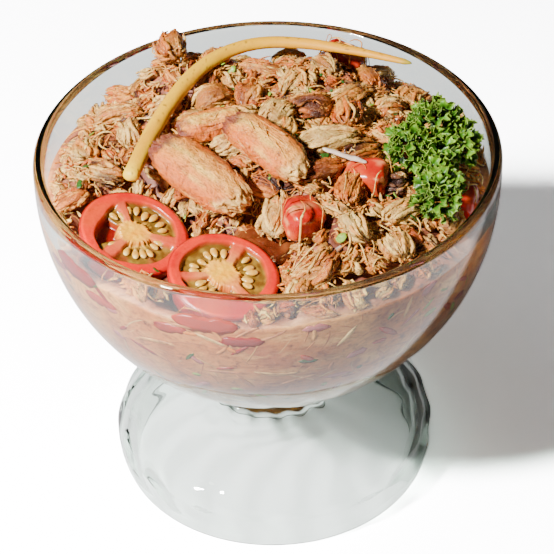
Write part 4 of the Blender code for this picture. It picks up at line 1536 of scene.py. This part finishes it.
def make_stage():
    size = FLOOR_HALF
    points = np.array([(-size, -size, 0), (size, -size, 0), (size, size, 0), (-size, size, 0)])
    # White seamless paper. Only to the camera's own rays its colour is multiplied by PAPER_GAIN,
    # which is brighter than real paper; the bowl and food see the plain paper.
    material, tree = new_material("white_paper")
    white = add(tree, "VectorMath", {0: linear("FBFAFC")[:3], 1: (PAPER_GAIN,) * 3}, operation="MULTIPLY")
    bright = add(tree, "BsdfDiffuse", {"Color": white.outputs["Vector"]})
    paper = add(tree, "BsdfDiffuse", {"Color": linear("EEEDF0")})
    path = add(tree, "LightPath")
    seen = path.outputs["Is Camera Ray"]
    either = add(tree, "MixShader", {"Fac": seen, 1: paper.outputs["BSDF"], 2: bright.outputs["BSDF"]})
    add(tree, "OutputMaterial", {"Surface": either.outputs["Shader"]})
    floor = make_mesh("white_paper_floor", points, [np.array([[0, 1, 2, 3]])], material)


def make_lamp(name, place, target, power, size, colour="FFFFFF"):
    lamp = bpy.data.lights.new(name, "AREA")
    lamp.energy = power
    lamp.size = size
    lamp.color = linear(colour)[:3]
    holder = bpy.data.objects.new(name, lamp)
    holder.location = place
    holder.rotation_euler = (Vector(target) - Vector(place)).to_track_quat("-Z", "Y").to_euler()
    bpy.context.scene.collection.objects.link(holder)


# Greys of the tent by height: 0 is the horizon, 1 straight overhead.
TENT_GREYS = {0.0: "DCE2DE", 0.12: "9A9E9A", 0.35: "6A6C68", 0.6: "B4B4B8", 1.0: "FFFFFF"}
TENT_STRENGTH = 0.095
KEY_PLACE = (-0.50, -0.37, 0.66)
KEY_TARGET = (0, 0, 0.08)
KEY_WATTS = 29.0
KEY_SIZE = 0.07
CAMERA_PLACE = (0.001477, -0.467506, 0.437289)
CAMERA_DOWN = 0.686535
CAMERA_ROLL = -0.025882
CAMERA_LENS = 160.98


def make_world():
    """A bright tent: light overhead, greyer towards the ground."""
    world = bpy.data.worlds.new("soft_tent")
    world.use_nodes = True
    tree = world.node_tree
    tree.nodes.clear()
    ray = add(tree, "TexCoord")
    parts = add(tree, "SeparateXYZ", {"Vector": ray.outputs["Generated"]})
    stops = [(height, linear(code)) for height, code in TENT_GREYS.items()]
    ramp = add(tree, "ValToRGB", {"Fac": parts.outputs["Z"]}, stops=stops)
    glow = add(tree, "Background", {"Color": ramp.outputs["Color"], "Strength": TENT_STRENGTH})
    add(tree, "OutputWorld", {"Surface": glow.outputs["Background"]})
    bpy.context.scene.world = world


def make_camera():
    """Seen from a little to the right of straight ahead, 39 degrees down on the bowl."""
    eye = bpy.data.cameras.new("camera")
    eye.sensor_width = 36.0
    eye.lens = CAMERA_LENS
    holder = bpy.data.objects.new("camera", eye)
    holder.matrix_world = (
        Matrix.Translation(CAMERA_PLACE)
        @ Matrix.Rotation(math.pi / 2 - CAMERA_DOWN, 4, "X")
        @ Matrix.Rotation(CAMERA_ROLL, 4, "Z")
    )
    bpy.context.scene.collection.objects.link(holder)
    bpy.context.scene.camera = holder


make_stage()
make_world()
make_lamp("key", KEY_PLACE, KEY_TARGET, KEY_WATTS, KEY_SIZE)
make_camera()
